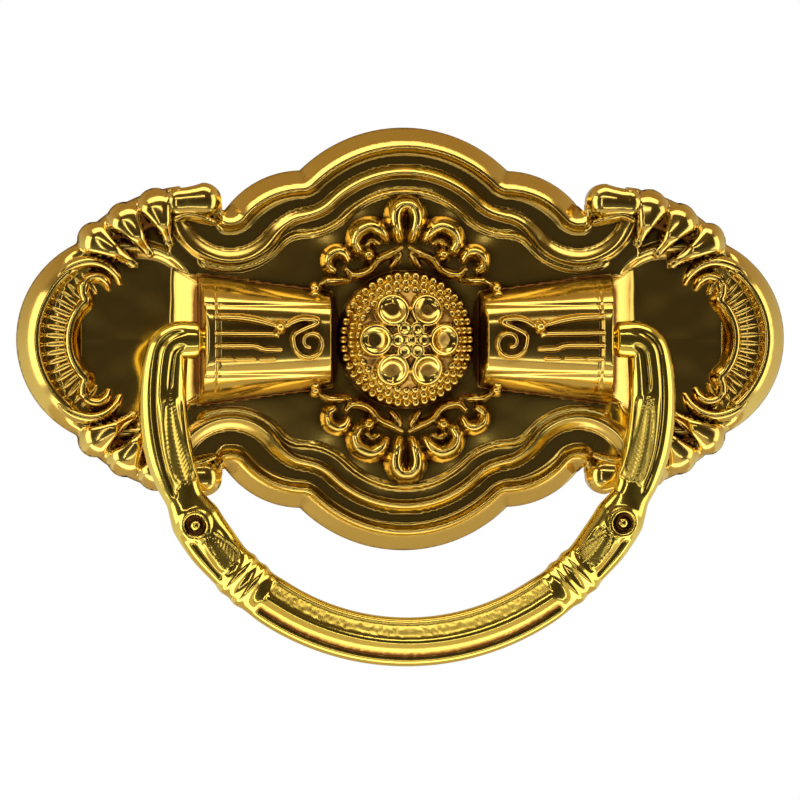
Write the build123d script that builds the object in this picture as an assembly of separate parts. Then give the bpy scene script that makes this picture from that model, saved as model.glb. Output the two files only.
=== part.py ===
from build123d import *
import os
from math import asin, atan2, cos, degrees, radians, sin, sqrt

# Ring pull: a pressed brass backplate, two threaded posts inside its barrels and a cast bail.
# Everything is drawn face up, with x to the right, y up the drawer front and z out from the drawer,
# and is turned upright at the end, so that the drawer face is the plane y = 0 and the front looks along -Y.

# Sheet and rim of the backplate
sheet = 0.8
rim_height = 3.6
rim_draft = 2.6

# Cartouche, the waved middle of the plate
crown_height = 30.4
crown_half_width = 15.0
shoulder_height = 24.2
shoulder_mid = (20.5, 22.9)
notch = (25.1, 19.3)
waist_half_width = 32.5

# Mouldings inside the rim, each placed by its distance in from the foot of the rim
channel_inset = 3.2
channel_floor = 2.3
bead_inset = 4.9
bead_height = 3.9
field_inset = 6.4
field_height = 2.5
moulding_slope = 30

# Shell ends
end_center = 40.3
end_radius = 15.2
web_height = 3.0
web_start = (28.0, 21.9)
web_mid = (40.6, 19.2)
web_end = (48.2, 12.0)
bowl_center = 38.4
bowl_half_width = 8.2
bowl_half_height = 13.6
bowl_depth = 2.5
reed_circle = 9.8
reed_groove_radius = 1.5
reed_groove_depth = 0.8
scroll_circle = 7.3
scroll_bead_radius = 1.0
scroll_eye_radius = 1.6
scroll_sink = 0.7
scroll_half_span = 66

# Gadroons along the upper and lower edge of each shell end
first_lobe_tip = (29.6, 19.0)
first_lobe_root = (33.4, 12.6)
first_lobe_radius = 3.7
first_lobe_root_radius = 1.9
lobe_arc_start = (34.8, 18.7)
lobe_arc_mid = (40.4, 17.0)
lobe_arc_end = (44.8, 13.8)
lobe_count = 3
lobe_aim = (29.0, 6.5)
lobe_length = 7.0
lobe_radius = 2.7
lobe_root_radius = 1.4
lobe_height = 4.1

# Barrels that carry the bail
barrel_start = 11.6
barrel_end = 28.4
barrel_small_radius = 6.4
barrel_large_radius = 7.9
barrel_start_draft = 1.2
barrel_end_draft = 2.9
collar_width = 1.5
collar_height = 0.5

# Rosette
boss_radius = 9.8
boss_rise = 7.3
bead_count = 16
bead_circle = 8.5
bead_radius = 0.95
petal_count = 8
petal_root_circle = 1.0
petal_tip_circle = 3.3
petal_root_radius = 0.8
petal_tip_radius = 1.4
petal_sink = 0.8
flower_eye_radius = 1.4

# Palmettes above and below the rosette
eye_height = 17.3
eye_ring_circle = 1.9
eye_ring_bead = 0.9
leaf_count = 3
leaf_first_angle = 24
leaf_angle_step = 17
leaf_root_circle = 10.4
leaf_tip_circle = 15.2
leaf_root_radius = 0.8
leaf_tip_radius = 1.35

# Threaded posts for a No. 8 machine screw from inside the drawer
post_spacing = 50.8
post_diameter = 7.0
screw_bore = 3.5
screw_bore_depth = 5.0
solder_gap = 0.02

# Bail and its pintles
pivot_height = 7.4
pintle_diameter = 3.0
pintle_clearance = 0.08
wall_hole_clearance = 0.25
pintle_past_post = 0.4
pintle_end_gap = 0.4
bail_radius = 35.0
bail_drop = 8.0
bail_elbow_radius = 2.6
bail_depth = 5.0
bow_width = 7.0
elbow_width = 4.4
scroll_angle = 36
scroll_swell = 0.35
scroll_length = 12.0
tie_angle = 50
tie_swell = 0.45
tie_thickness = 1.1
panel_half_span = 36
panel_width = 3.6
panel_depth = 0.35

on_base = (Align.CENTER, Align.CENTER, Align.MIN)
rim_slope = degrees(atan2(rim_draft, rim_height))
barrel_top = field_height + barrel_large_radius
boss_sphere = (boss_radius**2 + boss_rise**2) / (2 * boss_rise)
boss_center = field_height + boss_rise - boss_sphere
post_offset = post_spacing / 2
pintle_radius = pintle_diameter / 2
elbow_angle = asin((bail_drop - bail_elbow_radius) / (bail_radius - bail_elbow_radius))
elbow_end = (bail_radius - bail_elbow_radius) * cos(elbow_angle)
pintle_tip = post_offset - pintle_past_post


def both_ends(shape):
    """The shape at the right end and its mirror image at the left end."""
    return [shape, mirror(shape, Plane.YZ)]


def four_quarters(shape):
    """The shape in the upper right quarter and its mirror images in the other three."""
    return both_ends(shape) + both_ends(mirror(shape, Plane.XZ))


def cartouche(inset):
    """Face of the waved middle of the plate, set in from the foot of the rim."""
    corner = (crown_half_width, shoulder_height)
    crown = ThreePointArc((-corner[0], corner[1]), (0, crown_height), corner)
    shoulder = ThreePointArc(corner, shoulder_mid, notch)
    waist = ThreePointArc(notch, (waist_half_width, 0), (notch[0], -notch[1]))
    outline = [crown, mirror(crown, Plane.XZ)] + both_ends(waist) + four_quarters(shoulder)
    face = make_face(Curve() + outline)
    return offset(face, -inset, kind=Kind.ARC) if inset else face


def raised(face, height, slope):
    """Block that stands on the face and leans in as it rises."""
    block = extrude(face, height, taper=slope)
    return block if block.bounding_box().max.Z > height / 2 else mirror(block, Plane.XY)


def pocket(face, floor, top):
    """Cutter that has the given outline at its top and narrows down to its floor."""
    return Pos(0, 0, top) * mirror(raised(face, top - floor, moulding_slope), Plane.XY)


def pod(root, tip, root_radius, tip_radius, height):
    """Round-ended finger that swells from its root to its tip, lying level at the given height."""
    start = Vector(root[0], root[1], height)
    end = Vector(tip[0], tip[1], height)
    finger = Plane(start, z_dir=end - start) * Cone(root_radius, tip_radius, (end - start).length, align=on_base)
    return finger + Pos(end) * Sphere(tip_radius)


def toward(start, goal, distance):
    """Point at the given distance from start on the way to goal."""
    span = Vector(*goal) - Vector(*start)
    point = Vector(*start) + span.normalized() * distance
    return (point.X, point.Y)


def gadroons(skin):
    """Swelling fingers of one quarter, from the notch round to the C-scroll end."""
    fingers = [
        pod(
            first_lobe_root,
            first_lobe_tip,
            first_lobe_root_radius - skin,
            first_lobe_radius - skin,
            lobe_height - first_lobe_radius,
        )
    ]
    edge = ThreePointArc(lobe_arc_start, lobe_arc_mid, lobe_arc_end)
    for number in range(lobe_count):
        tip = edge @ (number / (lobe_count - 1))
        root = toward((tip.X, tip.Y), lobe_aim, lobe_length)
        axis_height = lobe_height - lobe_radius
        fingers.append(pod(root, (tip.X, tip.Y), lobe_root_radius - skin, lobe_radius - skin, axis_height))
    return fingers


def shell_web(skin):
    """Flat ground of one shell end, under the gadroons."""
    upper = ThreePointArc(web_start, web_mid, web_end)
    sides = [
        Line(web_end, (web_end[0], -web_end[1])),
        Line(web_start, (web_start[0], -web_start[1])),
    ]
    face = make_face(Curve() + [upper, mirror(upper, Plane.XZ)] + sides)
    return extrude(offset(face, -skin) if skin else face, web_height - skin, dir=(0, 0, 1))


def barrel(skin):
    """Right-hand barrel: a tapered half round with leaning ends and a collar at the outer one."""
    length = barrel_end + barrel_end_draft - barrel_start
    cone = Cone(barrel_small_radius - skin, barrel_large_radius - skin, length, align=on_base)
    body = Plane((barrel_start, 0, field_height), z_dir=(1, 0, 0)) * cone
    collar = Cylinder(barrel_large_radius + collar_height - skin, collar_width + barrel_end_draft, align=on_base)
    body += Plane((barrel_end - collar_width, 0, field_height), z_dir=(1, 0, 0)) * collar
    top = barrel_top + collar_height
    side = Polygon(
        (barrel_start + skin, 0),
        (barrel_start + barrel_start_draft + skin, top),
        (barrel_end - skin, top),
        (barrel_end + barrel_end_draft - skin, 0),
        align=None,
    )
    return body & extrude(Plane.XZ * side, top, both=True)


def dome(skin):
    """Plain dome under the rosette."""
    ball = Pos(0, 0, boss_center) * Sphere(boss_sphere - skin)
    return ball & Cylinder(2 * boss_sphere, 2 * boss_sphere, align=on_base)


def relief(skin):
    """The plate's modelled front as a solid block, or the hollow behind it at the given sheet thickness."""
    block = raised(cartouche(skin), rim_height - skin, rim_slope)
    end_foot = end_radius - skin
    end_disc = Pos(end_center, 0, 0) * Cone(end_foot, end_foot - rim_draft, rim_height - skin, align=on_base)
    block += both_ends(end_disc) + both_ends(shell_web(skin))
    for finger in gadroons(skin):
        block += four_quarters(finger)
    block -= Pos(0, 0, -barrel_top) * Box(4 * end_center, 4 * end_center, barrel_top, align=on_base)

    bowl_size = (bowl_half_width + skin, bowl_half_height + skin, bowl_depth + skin)
    bowl = Pos(bowl_center, 0, rim_height) * scale(Sphere(1), by=bowl_size)
    groove_height = rim_height + reed_groove_radius - reed_groove_depth
    groove = Pos(end_center, 0, groove_height) * Torus(reed_circle, reed_groove_radius + skin)
    block -= both_ends(bowl) + both_ends(groove)

    block -= pocket(cartouche(channel_inset - skin), channel_floor - skin, rim_height)
    bead = raised(cartouche(bead_inset + skin), bead_height - channel_floor, moulding_slope)
    block += Pos(0, 0, channel_floor - skin) * bead
    block -= pocket(cartouche(field_inset - skin), field_height - skin, bead_height)
    return block + both_ends(barrel(skin)) + [dome(skin)]


def c_scroll():
    """C-shaped bead with a round eye at each end, inside the reeded band of the right-hand end."""
    height = rim_height - scroll_sink
    arc = Torus(scroll_circle, scroll_bead_radius, major_angle=2 * scroll_half_span, align=None)
    shape = Pos(end_center, 0, height) * Rot(0, 0, -scroll_half_span) * arc
    eye = Cylinder(scroll_eye_radius, height, align=on_base) + Pos(0, 0, height) * Sphere(scroll_eye_radius)
    for side in (-1, 1):
        turn = radians(side * scroll_half_span)
        shape += Pos(end_center + scroll_circle * cos(turn), scroll_circle * sin(turn), 0) * eye
    return shape


def rosette():
    """Beads round the dome, and the flower on top of it."""
    bead_rise = boss_center + sqrt(boss_sphere**2 - bead_circle**2)
    bead = Pos(bead_circle, 0, bead_rise) * Sphere(bead_radius)
    top = field_height + boss_rise
    petal = pod(
        (petal_root_circle, 0),
        (petal_tip_circle, 0),
        petal_root_radius,
        petal_tip_radius,
        top - petal_sink,
    )
    beads = [Rot(0, 0, 360 * number / bead_count) * bead for number in range(bead_count)]
    petals = [Rot(0, 0, 360 * number / petal_count) * petal for number in range(petal_count)]
    return beads + petals + [Pos(0, 0, top) * Sphere(flower_eye_radius)]


def palmette():
    """Eye and spreading leaves above the rosette."""
    shapes = [Pos(0, eye_height, field_height) * Torus(eye_ring_circle, eye_ring_bead)]
    for number in range(leaf_count):
        angle = radians(leaf_first_angle + number * leaf_angle_step)
        root = (leaf_root_circle * sin(angle), leaf_root_circle * cos(angle))
        tip = (leaf_tip_circle * sin(angle), leaf_tip_circle * cos(angle))
        shapes += both_ends(pod(root, tip, leaf_root_radius, leaf_tip_radius, field_height))
    return shapes


def along_pivot(radius, start, end):
    """Round bar on the bail's pivot line at the right-hand end."""
    bar = Cylinder(radius, end - start, align=on_base)
    return Plane((start, 0, pivot_height), z_dir=(1, 0, 0)) * bar


def backplate():
    """Pressed plate: the front relief less the hollow behind it, with its ornament and pivot holes."""
    ornament = both_ends(c_scroll()) + rosette()
    for shape in palmette():
        ornament += [shape, mirror(shape, Plane.XZ)]
    plate = relief(0) + ornament - relief(sheet)
    hole = along_pivot(pintle_radius + wall_hole_clearance, post_offset, end_center)
    return plate - both_ends(hole)


def post():
    """Right-hand threaded post: it stands on the drawer face, fills the barrel's crown and takes the pintle."""
    rod = Cylinder(post_diameter / 2, barrel_top, align=on_base)
    rod -= Cylinder(screw_bore / 2, screw_bore_depth, align=on_base)
    rod = (Pos(post_offset, 0, 0) * rod) & barrel(sheet + solder_gap)
    return rod - along_pivot(pintle_radius + pintle_clearance, pintle_tip - pintle_end_gap, end_center)


def bail_line():
    """Centre line of the bail, from the right-hand pivot round the bottom to the left-hand one."""
    middle = radians(90) / 2 + elbow_angle / 2
    elbow_mid = (
        elbow_end + bail_elbow_radius * cos(middle),
        bail_elbow_radius * sin(middle) - bail_elbow_radius,
    )
    foot = on_bow(-degrees(elbow_angle))
    elbow = ThreePointArc((elbow_end, 0), elbow_mid, foot)
    bow = ThreePointArc(foot, on_bow(90), (-foot[0], foot[1]))
    return Wire([elbow, bow, mirror(elbow, Plane.YZ).edge()])


def on_bow(angle):
    """Point of the bail's bow at an angle below the level of its centre, on the right."""
    turn = radians(angle)
    return (bail_radius * cos(turn), -bail_drop - bail_radius * sin(turn))


def across_bow(angle):
    """Plane square to the bow at an angle below the level of its centre, with its x axis facing out."""
    turn = radians(angle)
    return Plane(on_bow(angle), x_dir=(0, 0, 1), z_dir=(-sin(turn), -cos(turn), 0))


def bail():
    """Cast bail: a swept oval with a scroll swelling and a tie on each side, a sunk panel and two pintles."""
    neck = Ellipse(elbow_width / 2, elbow_width / 2)
    oval = Ellipse(bail_depth / 2, bow_width / 2)
    sections = [Plane((elbow_end, 0), x_dir=(0, 0, 1), z_dir=(1, 0, 0)) * neck]
    sections += [across_bow(angle) * oval for angle in (0, 90, 180)]
    sections += [Plane((-elbow_end, 0), x_dir=(0, 0, 1), z_dir=(1, 0, 0)) * neck]
    ring = sweep(sections, path=bail_line(), multisection=True)
    swell = scale(Sphere(1), by=(bail_depth / 2, bow_width / 2 + scroll_swell, scroll_length / 2))
    ring += both_ends(across_bow(scroll_angle) * swell)
    collar = Ellipse(bail_depth / 2 + tie_swell, bow_width / 2 + tie_swell)
    ring += both_ends(extrude(across_bow(tie_angle) * collar, tie_thickness / 2, both=True))
    strip = Pos(bail_radius, bail_depth / 2) * Rectangle(panel_width, 2 * panel_depth)
    panel = revolve(Plane.XZ * strip, axis=Axis.Z, revolution_arc=2 * panel_half_span)
    ring -= Pos(0, -bail_drop, 0) * Rot(0, 0, -90 - panel_half_span) * panel
    pintle = along_pivot(pintle_radius, pintle_tip, elbow_end + elbow_width / 4)
    return Pos(0, 0, pivot_height) * ring + both_ends(pintle)


pieces = {
    "backplate": backplate(),
    "right_post": post(),
    "left_post": mirror(post(), Plane.YZ),
    "bail": bail(),
}
os.makedirs("parts", exist_ok=True)
for name, shape in pieces.items():
    export_step(Plane.XZ * shape, f"parts/{name}.step")
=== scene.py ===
"""Ring pull in polished brass: a pressed backplate with its chased ornament, and a cast bail."""

import math
from types import SimpleNamespace

import bmesh
import bpy
import numpy as np
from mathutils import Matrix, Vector


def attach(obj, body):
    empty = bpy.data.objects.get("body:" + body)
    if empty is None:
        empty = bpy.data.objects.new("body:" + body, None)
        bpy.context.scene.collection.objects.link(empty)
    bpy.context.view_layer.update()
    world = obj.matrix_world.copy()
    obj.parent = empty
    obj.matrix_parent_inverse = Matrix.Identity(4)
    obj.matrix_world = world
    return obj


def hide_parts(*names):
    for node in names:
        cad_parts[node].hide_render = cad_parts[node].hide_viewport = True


bl_info = {
    "name": "Ring Pull",
    "version": (1, 0, 0),
    "blender": (4, 5, 0),
    "location": "View3D > Sidebar > Ring Pull",
    "description": "Builds a brass ring pull: pressed backplate, chased ornament, cast bail and studio",
    "category": "Object",
}

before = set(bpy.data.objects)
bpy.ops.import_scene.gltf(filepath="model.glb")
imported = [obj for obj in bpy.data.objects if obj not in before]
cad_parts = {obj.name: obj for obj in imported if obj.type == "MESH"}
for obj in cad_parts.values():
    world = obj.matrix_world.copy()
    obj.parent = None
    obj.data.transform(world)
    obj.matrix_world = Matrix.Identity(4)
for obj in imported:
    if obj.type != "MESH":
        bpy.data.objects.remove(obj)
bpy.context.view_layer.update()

MM = 0.001

# Height of the sheet's edge (mm), and how near a grid point snaps to it (grid steps)
SHEET_EDGE = 0.35
SNAP = 0.71
# How far the sheet's edge leans outwards, and the least steepness allowed for in snapping to it
EDGE_LEAN = 1.7
LEAST_STEEPNESS = 0.25
# Distances over which the slopes of the outline and of the front are taken (mm)
OUTLINE_SPAN = 0.02
FRONT_SPAN = 0.07
# Passes that fill the cells of a sheet which touch only at a corner
PINCH_PASSES = 3
# Spacing of the chased relief's points, how far it is set down and how deep it is rooted (mm)
RELIEF_STEP = 0.14
RELIEF_SINK = 0.03
RELIEF_ROOT = 0.4
# Brown of painted shade and patina in hollows, on the plate and on the relief: cells averaged over, depth
# that is all brown (mm)
PLATE_SHADE_AND_PATINA = (5, 1.0)
RELIEF_SHADE_AND_PATINA = (4, 0.45)
# Brown of painted shade and patina at the relief's foot, and the rise over which it clears (mm); brown on
# the plate's back
FOOT_SHADE_AND_PATINA = (0.7, 0.3)
BACK_TONE = 0.2

# Roughness of each brass and strength of its polishing marks
BRASS = {
    "pressed_brass": (0.12, 0.1),
    "chased_brass": (0.09, 0.1),
    "cast_brass": (0.1, 0.14),
    "turned_brass": (0.26, 0.3),
}
# Mellow patches: scale, level at which they start, contrast and strength
PATCH_SCALE = 90.0
PATCHES = (0.35, 1.6, 0.6)
# Fine grain and polishing marks: scale, turn of the marks and height of both (m)
FINE_SCALE = 1400.0
MARK_SCALE = (300.0, 300.0, 5200.0)
MARK_TURN = (0.0, 0.35, 0.0)
MARK_HEIGHT = 0.00004
# Strength of the brown, which is painted shade and patina in the hollows, and raggedness of its edge
SHADE_AND_PATINA_STRENGTH = (1.3, 1.2)
# Roughness that patches, grain, the brown of painted shade and patina, and matt parts add
PATCH_MATT = 0.06
GRAIN_MATT = 0.05
SHADE_AND_PATINA_MATT = 0.1
FULL_MATT = 0.22

# Parts of a curve between two points of its path, points of a spiral, half length of a knob (mm)
LINE_PARTS = 4
SPIRAL_POINTS = 16
KNOB_HALF = 0.05
# Power that rounds the sides of a ridge, and the least square of a length that is divided by
RIDGE_POWER = 1.4
TINY = 1e-9

# Moulding across the rim and across the bead: distance in from the plate's edge, height (mm)
RIM_PROFILE = (
    (0.0, 0.35), (0.15, 0.8), (0.9, 1.75), (1.6, 2.55), (1.95, 2.95), (2.75, 3.55), (2.92, 3.6),
    (3.08, 3.45), (3.5, 2.7), (3.8, 2.4), (4.1, 2.25),
)
BEAD_PROFILE = (
    (5.35, 2.25), (5.5, 2.5), (5.65, 2.62), (6.55, 3.3), (6.72, 3.33), (6.88, 3.2), (7.1, 2.75),
    (7.3, 2.45), (7.5, 2.4),
)
FRAME_PROFILE = RIM_PROFILE + BEAD_PROFILE
# The same past the notch, where the channel closes and only its inner bead is left
CLOSED_PROFILE = ((0.0, 2.25),) + BEAD_PROFILE
# Thin step inside the mouldings: distance in from the edge, rise above the ground (mm)
STEP_PROFILE = ((8.6, 0.0), (9.0, 0.3), (9.25, 0.5), (9.45, 0.44), (9.9, 0.1), (10.2, 0.1))

# Across a shell end: distance from its centre, height (mm), with its rim and without
END_PROFILE = (
    (7.6, 2.2), (8.0, 2.25), (8.9, 2.3), (11.1, 2.3), (11.6, 2.9), (12.0, 3.45), (12.4, 3.6),
    (13.0, 3.25), (14.0, 2.3), (15.0, 0.95), (15.2, 0.35),
)
END_PLAIN = ((8.0, 2.3), (12.0, 2.4), (13.0, 2.4), (14.0, 2.1), (15.0, 0.95), (15.2, 0.35))
# C-scroll of a shell end: its middle from the middle of the plate, and its radius (mm)
SCROLL_CIRCLE = (40.3, 7.7)

# Rolled edge under the gadroons: distance in from the edge, height (mm)
ROLL_PROFILE = (
    (0.0, 0.35), (0.15, 1.0), (0.6, 1.8), (1.2, 2.3), (1.9, 2.6), (2.6, 2.6), (3.4, 2.3), (4.2, 1.9),
    (5.0, 1.7),
)

# Rosette: distance from the middle of a petal or of the button, height above the dome (mm)
PETAL_PROFILE = ((0.0, 0.05), (0.8, 0.1), (1.35, 0.36), (1.8, 0.8), (2.05, 0.88), (2.3, 0.66), (2.55, 0.0))
INNER_PETAL_PROFILE = ((0.0, 0.55), (0.4, 0.6), (0.75, 0.85), (0.95, 0.8), (1.25, 0.0))
BUTTON_PROFILE = ((0.0, 1.25), (0.5, 1.15), (0.85, 0.75), (1.05, 0.0))

# Bail: distance from its lowest point along its line, half width and half depth (mm)
BAIL_WIDTH = (
    (0.0, 3.5), (20.0, 3.48), (23.2, 3.35), (24.6, 3.62), (25.8, 3.4), (27.0, 3.62), (28.4, 3.35),
    (33.0, 3.6), (36.4, 3.6), (38.6, 3.1), (40.2, 2.75), (42.6, 3.05), (48.0, 3.45), (54.0, 3.4),
    (58.5, 3.3), (61.2, 3.1), (63.6, 2.8), (66.2, 2.6), (66.7, 2.3), (66.9, 1.5), (71.0, 1.5), (71.4, 1.2),
)
BAIL_DEPTH = (
    (0.0, 2.45), (20.0, 2.45), (23.2, 2.35), (24.6, 2.6), (25.8, 2.35), (27.0, 2.6), (28.4, 2.3),
    (36.0, 2.5), (40.2, 2.1), (48.0, 2.45), (58.5, 2.4), (63.6, 2.35), (66.2, 2.3), (66.7, 2.1),
    (66.9, 1.5), (71.0, 1.5), (71.4, 1.2),
)
# Scroll eye of the bail: distance from its middle, rise (mm)
SCROLL_EYE_PROFILE = (
    (0.0, 0.1), (0.5, 0.0), (0.9, -0.55), (1.3, -0.5), (1.75, 0.28), (2.1, 0.2), (2.6, 0.0),
)


def length(name, description, millimetres):
    """Property for a size, given in millimetres and kept in metres."""
    return bpy.props.FloatProperty(
        name=name, description=description, default=millimetres * MM, min=0.0, unit="LENGTH", precision=5
    )


def angle(name, description, degrees):
    """Property for an angle, given in degrees and kept in radians."""
    return bpy.props.FloatProperty(
        name=name, description=description, default=math.radians(degrees), subtype="ANGLE"
    )


def quantity(name, description, number, least):
    """Property for a number of things."""
    return bpy.props.IntProperty(name=name, description=description, default=number, min=least)


def colour(name, description, value):
    """Property for a colour in linear light."""
    return bpy.props.FloatVectorProperty(
        name=name, description=description, default=value, size=3, min=0.0, max=1.0, subtype="COLOR"
    )


class PlateSizes(bpy.types.PropertyGroup):
    """Sizes of the pressed backplate."""

    grid_step: length("Grid step", "Spacing of the points on the pressed sheet", 0.245)
    sheet: length("Sheet", "Thickness of the brass sheet", 0.8)
    crown_height: length("Crown height", "Top of the waved edge above the middle", 30.38)
    crown_half_width: length("Crown half width", "Where the crown meets the shoulder", 15.0)
    shoulder_height: length("Shoulder height", "Height of that corner", 24.2)
    waist_half_width: length("Waist half width", "Half width of the middle panel at its waist", 32.5)
    field_height: length("Field height", "Ground of the middle panel above the drawer face", 2.5)
    rim_height: length("Rim height", "Crest of the rim above the drawer face", 3.6)
    end_center: length("End centre", "Middle of a shell end from the middle of the plate", 40.3)
    end_radius: length("End radius", "Outer radius of a shell end", 15.19)
    bowl_center: length("Bowl centre", "Middle of the sunk bowl from the middle of the plate", 38.3)
    bowl_half_width: length("Bowl half width", "Half width of the bowl", 9.7)
    bowl_half_height: length("Bowl half height", "Half height of the bowl", 14.2)
    bowl_depth: length("Bowl depth", "Depth of the bowl below the rim", 2.5)
    lobe_height: length("Gadroon height", "Top of a gadroon above the drawer face", 4.45)
    barrel_start: length("Barrel start", "Inner end of a barrel from the middle", 10.4)
    barrel_end: length("Barrel end", "Outer end of a barrel from the middle", 28.4)
    barrel_small_foot: length("Barrel inner foot", "Half width of its foot at the inner end", 6.9)
    barrel_large_foot: length("Barrel outer foot", "Half width of its foot at the outer end", 9.2)
    barrel_small_rise: length("Barrel inner rise", "Rise above the field at the inner end", 6.3)
    barrel_large_rise: length("Barrel outer rise", "Rise above the field at the outer end", 7.8)
    boss_radius: length("Boss radius", "Radius of the dome under the rosette", 9.8)
    boss_rise: length("Boss rise", "Rise of the dome above the field", 7.3)


class OrnamentSizes(bpy.types.PropertyGroup):
    """Sizes of the chased ornament."""

    bead_count: quantity("Beads", "Beads in the outermost ring of the rosette", 44, 8)
    bead_radius: length("Bead radius", "Radius of a rosette bead", 0.56)
    bead_circle: length("Bead circle", "Radius of the outermost ring of beads", 9.1)
    bead_pitch: length("Bead pitch", "Distance from one ring of beads to the next", 0.98)
    flower_radius: length("Flower radius", "Outer radius of the flower", 7.4)
    petal_count: quantity("Petals", "Petals of the flower", 6, 3)
    petal_circle: length("Petal circle", "Where the middles of the petals lie", 4.95)
    reed_count: quantity("Reeds", "Reeds inside the rim of each shell end", 18, 3)
    reed_circle: length("Reed circle", "Radius of the reeded band", 9.45)
    reed_length: length("Reed length", "Length of a reed", 4.1)
    reed_width: length("Reed width", "Width of a reed", 0.9)
    reed_span: angle("Reed span", "Angle that the reeds cover", 118)


class BailSizes(bpy.types.PropertyGroup):
    """Sizes of the cast bail and its pivot."""

    pivot_height: length("Pivot height", "Pivot line above the drawer face", 7.4)
    bow_radius: length("Bow radius", "Radius of the bow's centre line", 35.0)
    bow_drop: length("Bow drop", "Centre of the bow below the pivot line", 8.0)
    elbow_radius: length("Elbow radius", "Radius of the bend into the pintle", 2.6)
    pintle_tip: length("Pintle tip", "Inner end of a pintle from the middle", 25.0)


class BrassColours(bpy.types.PropertyGroup):
    """Colours of the brass."""

    polished: colour("Polished", "Brass on the rubbed high parts", (0.8, 0.58, 0.145))
    toned: colour("Toned", "Brass where the polish has mellowed", (0.68, 0.43, 0.075))
    cast_polished: colour("Cast, polished", "Yellower brass of the bail", (0.88, 0.68, 0.14))
    cast_toned: colour("Cast, toned", "Mellow brass of the bail", (0.76, 0.54, 0.07))
    # Dark brown painted into the hollows, standing for shade there as well as for patina
    shade_and_patina: colour("Hollow", "Brown tone left in the hollows", (0.14, 0.055, 0.011))


class StageSizes(bpy.types.PropertyGroup):
    """Camera and studio."""

    azimuth: angle("Azimuth", "Camera round from the front", -6.0)
    elevation: angle("Elevation", "Camera above level", 1.5)
    distance: length("Distance", "Camera to the drawer face", 600.0)
    view_width: length("View width", "Width of the picture at the drawer face", 115.1)
    aim_height: length("Aim height", "Middle of the picture below the pivot line", 8.75)
    aim_left: length("Aim left", "Middle of the picture left of the plate's middle", 0.5)
    floor_drop: length("Floor drop", "Floor below the pivot line", 150.0)


SETTINGS = {
    "ring_pull_plate": PlateSizes,
    "ring_pull_ornament": OrnamentSizes,
    "ring_pull_bail": BailSizes,
    "ring_pull_brass": BrassColours,
    "ring_pull_stage": StageSizes,
}


def millimetres(group):
    """The lengths of a property group in millimetres, and its other values as they are."""
    values = {}
    for name, prop in group.bl_rna.properties.items():
        if getattr(prop, "unit", "NONE") == "LENGTH":
            values[name] = getattr(group, name) / MM
        elif name not in {"rna_type", "name"}:
            values[name] = getattr(group, name)
    return SimpleNamespace(**values)


# Shapes in numbers


def profile(knots, at):
    """Smooth curve through the knots, with no overshoot, level past its ends."""
    place, height = np.array(knots).T
    run = np.diff(place)
    slope = np.diff(height) / run
    tangent = np.zeros_like(height)
    product = slope[:-1] * slope[1:]
    total = np.where(product > 0, slope[:-1] + slope[1:], 1.0)
    tangent[1:-1] = np.where(product > 0, 2 * product / total, 0.0)
    index = np.clip(np.searchsorted(place, at) - 1, 0, len(run) - 1)
    t = np.clip((at - place[index]) / run[index], 0, 1)
    start = height[index] * (1 + 2 * t) * (1 - t) ** 2 + height[index + 1] * t * t * (3 - 2 * t)
    return start + run[index] * (tangent[index] * t * (1 - t) ** 2 + tangent[index + 1] * t * t * (t - 1))


def fade(low, high, at):
    """Smooth step from 0 at low to 1 at high."""
    t = np.clip((at - low) / (high - low), 0, 1)
    return t * t * (3 - 2 * t)


def upper(a, b, blend):
    """The higher of two surfaces, with a fillet of the given size where they meet."""
    overlap = np.maximum(blend - np.abs(a - b), 0) / blend
    return np.maximum(a, b) + overlap * overlap * blend / 4


def lower(a, b, blend):
    """The lower of two surfaces, with a rounded edge where they meet."""
    return -upper(-a, -b, blend)


def bell(at, middle, spread):
    """Bell curve, 1 at its middle."""
    return np.exp(-(((at - middle) / spread) ** 2))


class Arc:
    """Circular arc through three points."""

    def __init__(self, start, middle, end):
        (ax, az), (bx, bz), (cx, cz) = start, middle, end
        twice = 2 * (ax * (bz - cz) + bx * (cz - az) + cx * (az - bz))
        a2, b2, c2 = ax * ax + az * az, bx * bx + bz * bz, cx * cx + cz * cz
        self.x = (a2 * (bz - cz) + b2 * (cz - az) + c2 * (az - bz)) / twice
        self.z = (a2 * (cx - bx) + b2 * (ax - cx) + c2 * (bx - ax)) / twice
        self.radius = math.hypot(ax - self.x, az - self.z)
        self.ends = (start, end)
        first = math.atan2(az - self.z, ax - self.x)
        self.middle = math.atan2(bz - self.z, bx - self.x)
        last = math.atan2(cz - self.z, cx - self.x)
        self.reach = sorted((self._turn(first), self._turn(last)))

    def _turn(self, angle):
        return (angle - self.middle + np.pi) % (2 * np.pi) - np.pi

    def distance(self, x, z):
        """Distance of points from the arc."""
        on_circle = np.abs(np.hypot(x - self.x, z - self.z) - self.radius)
        past_end = np.minimum(*(np.hypot(x - px, z - pz) for px, pz in self.ends))
        turn = self._turn(np.arctan2(z - self.z, x - self.x))
        return np.where((turn >= self.reach[0]) & (turn <= self.reach[1]), on_circle, past_end)


def beside(x, z, start, end):
    """Share of the way from start to end that lies nearest to points, and their distance from it."""
    along = np.subtract(end, start)
    share = ((x - start[0]) * along[0] + (z - start[1]) * along[1]) / max(along @ along, TINY)
    share = np.clip(share, 0, 1)
    return share, np.hypot(x - start[0] - share * along[0], z - start[1] - share * along[1])


def finger(x, z, root, tip, root_radius, tip_radius):
    """Distance of points inside a teardrop finger, its radius beside them, and their share of its length."""
    share, off = beside(x, z, root, tip)
    radius = root_radius + (tip_radius - root_radius) * share * share
    return radius - off, radius, share


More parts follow.
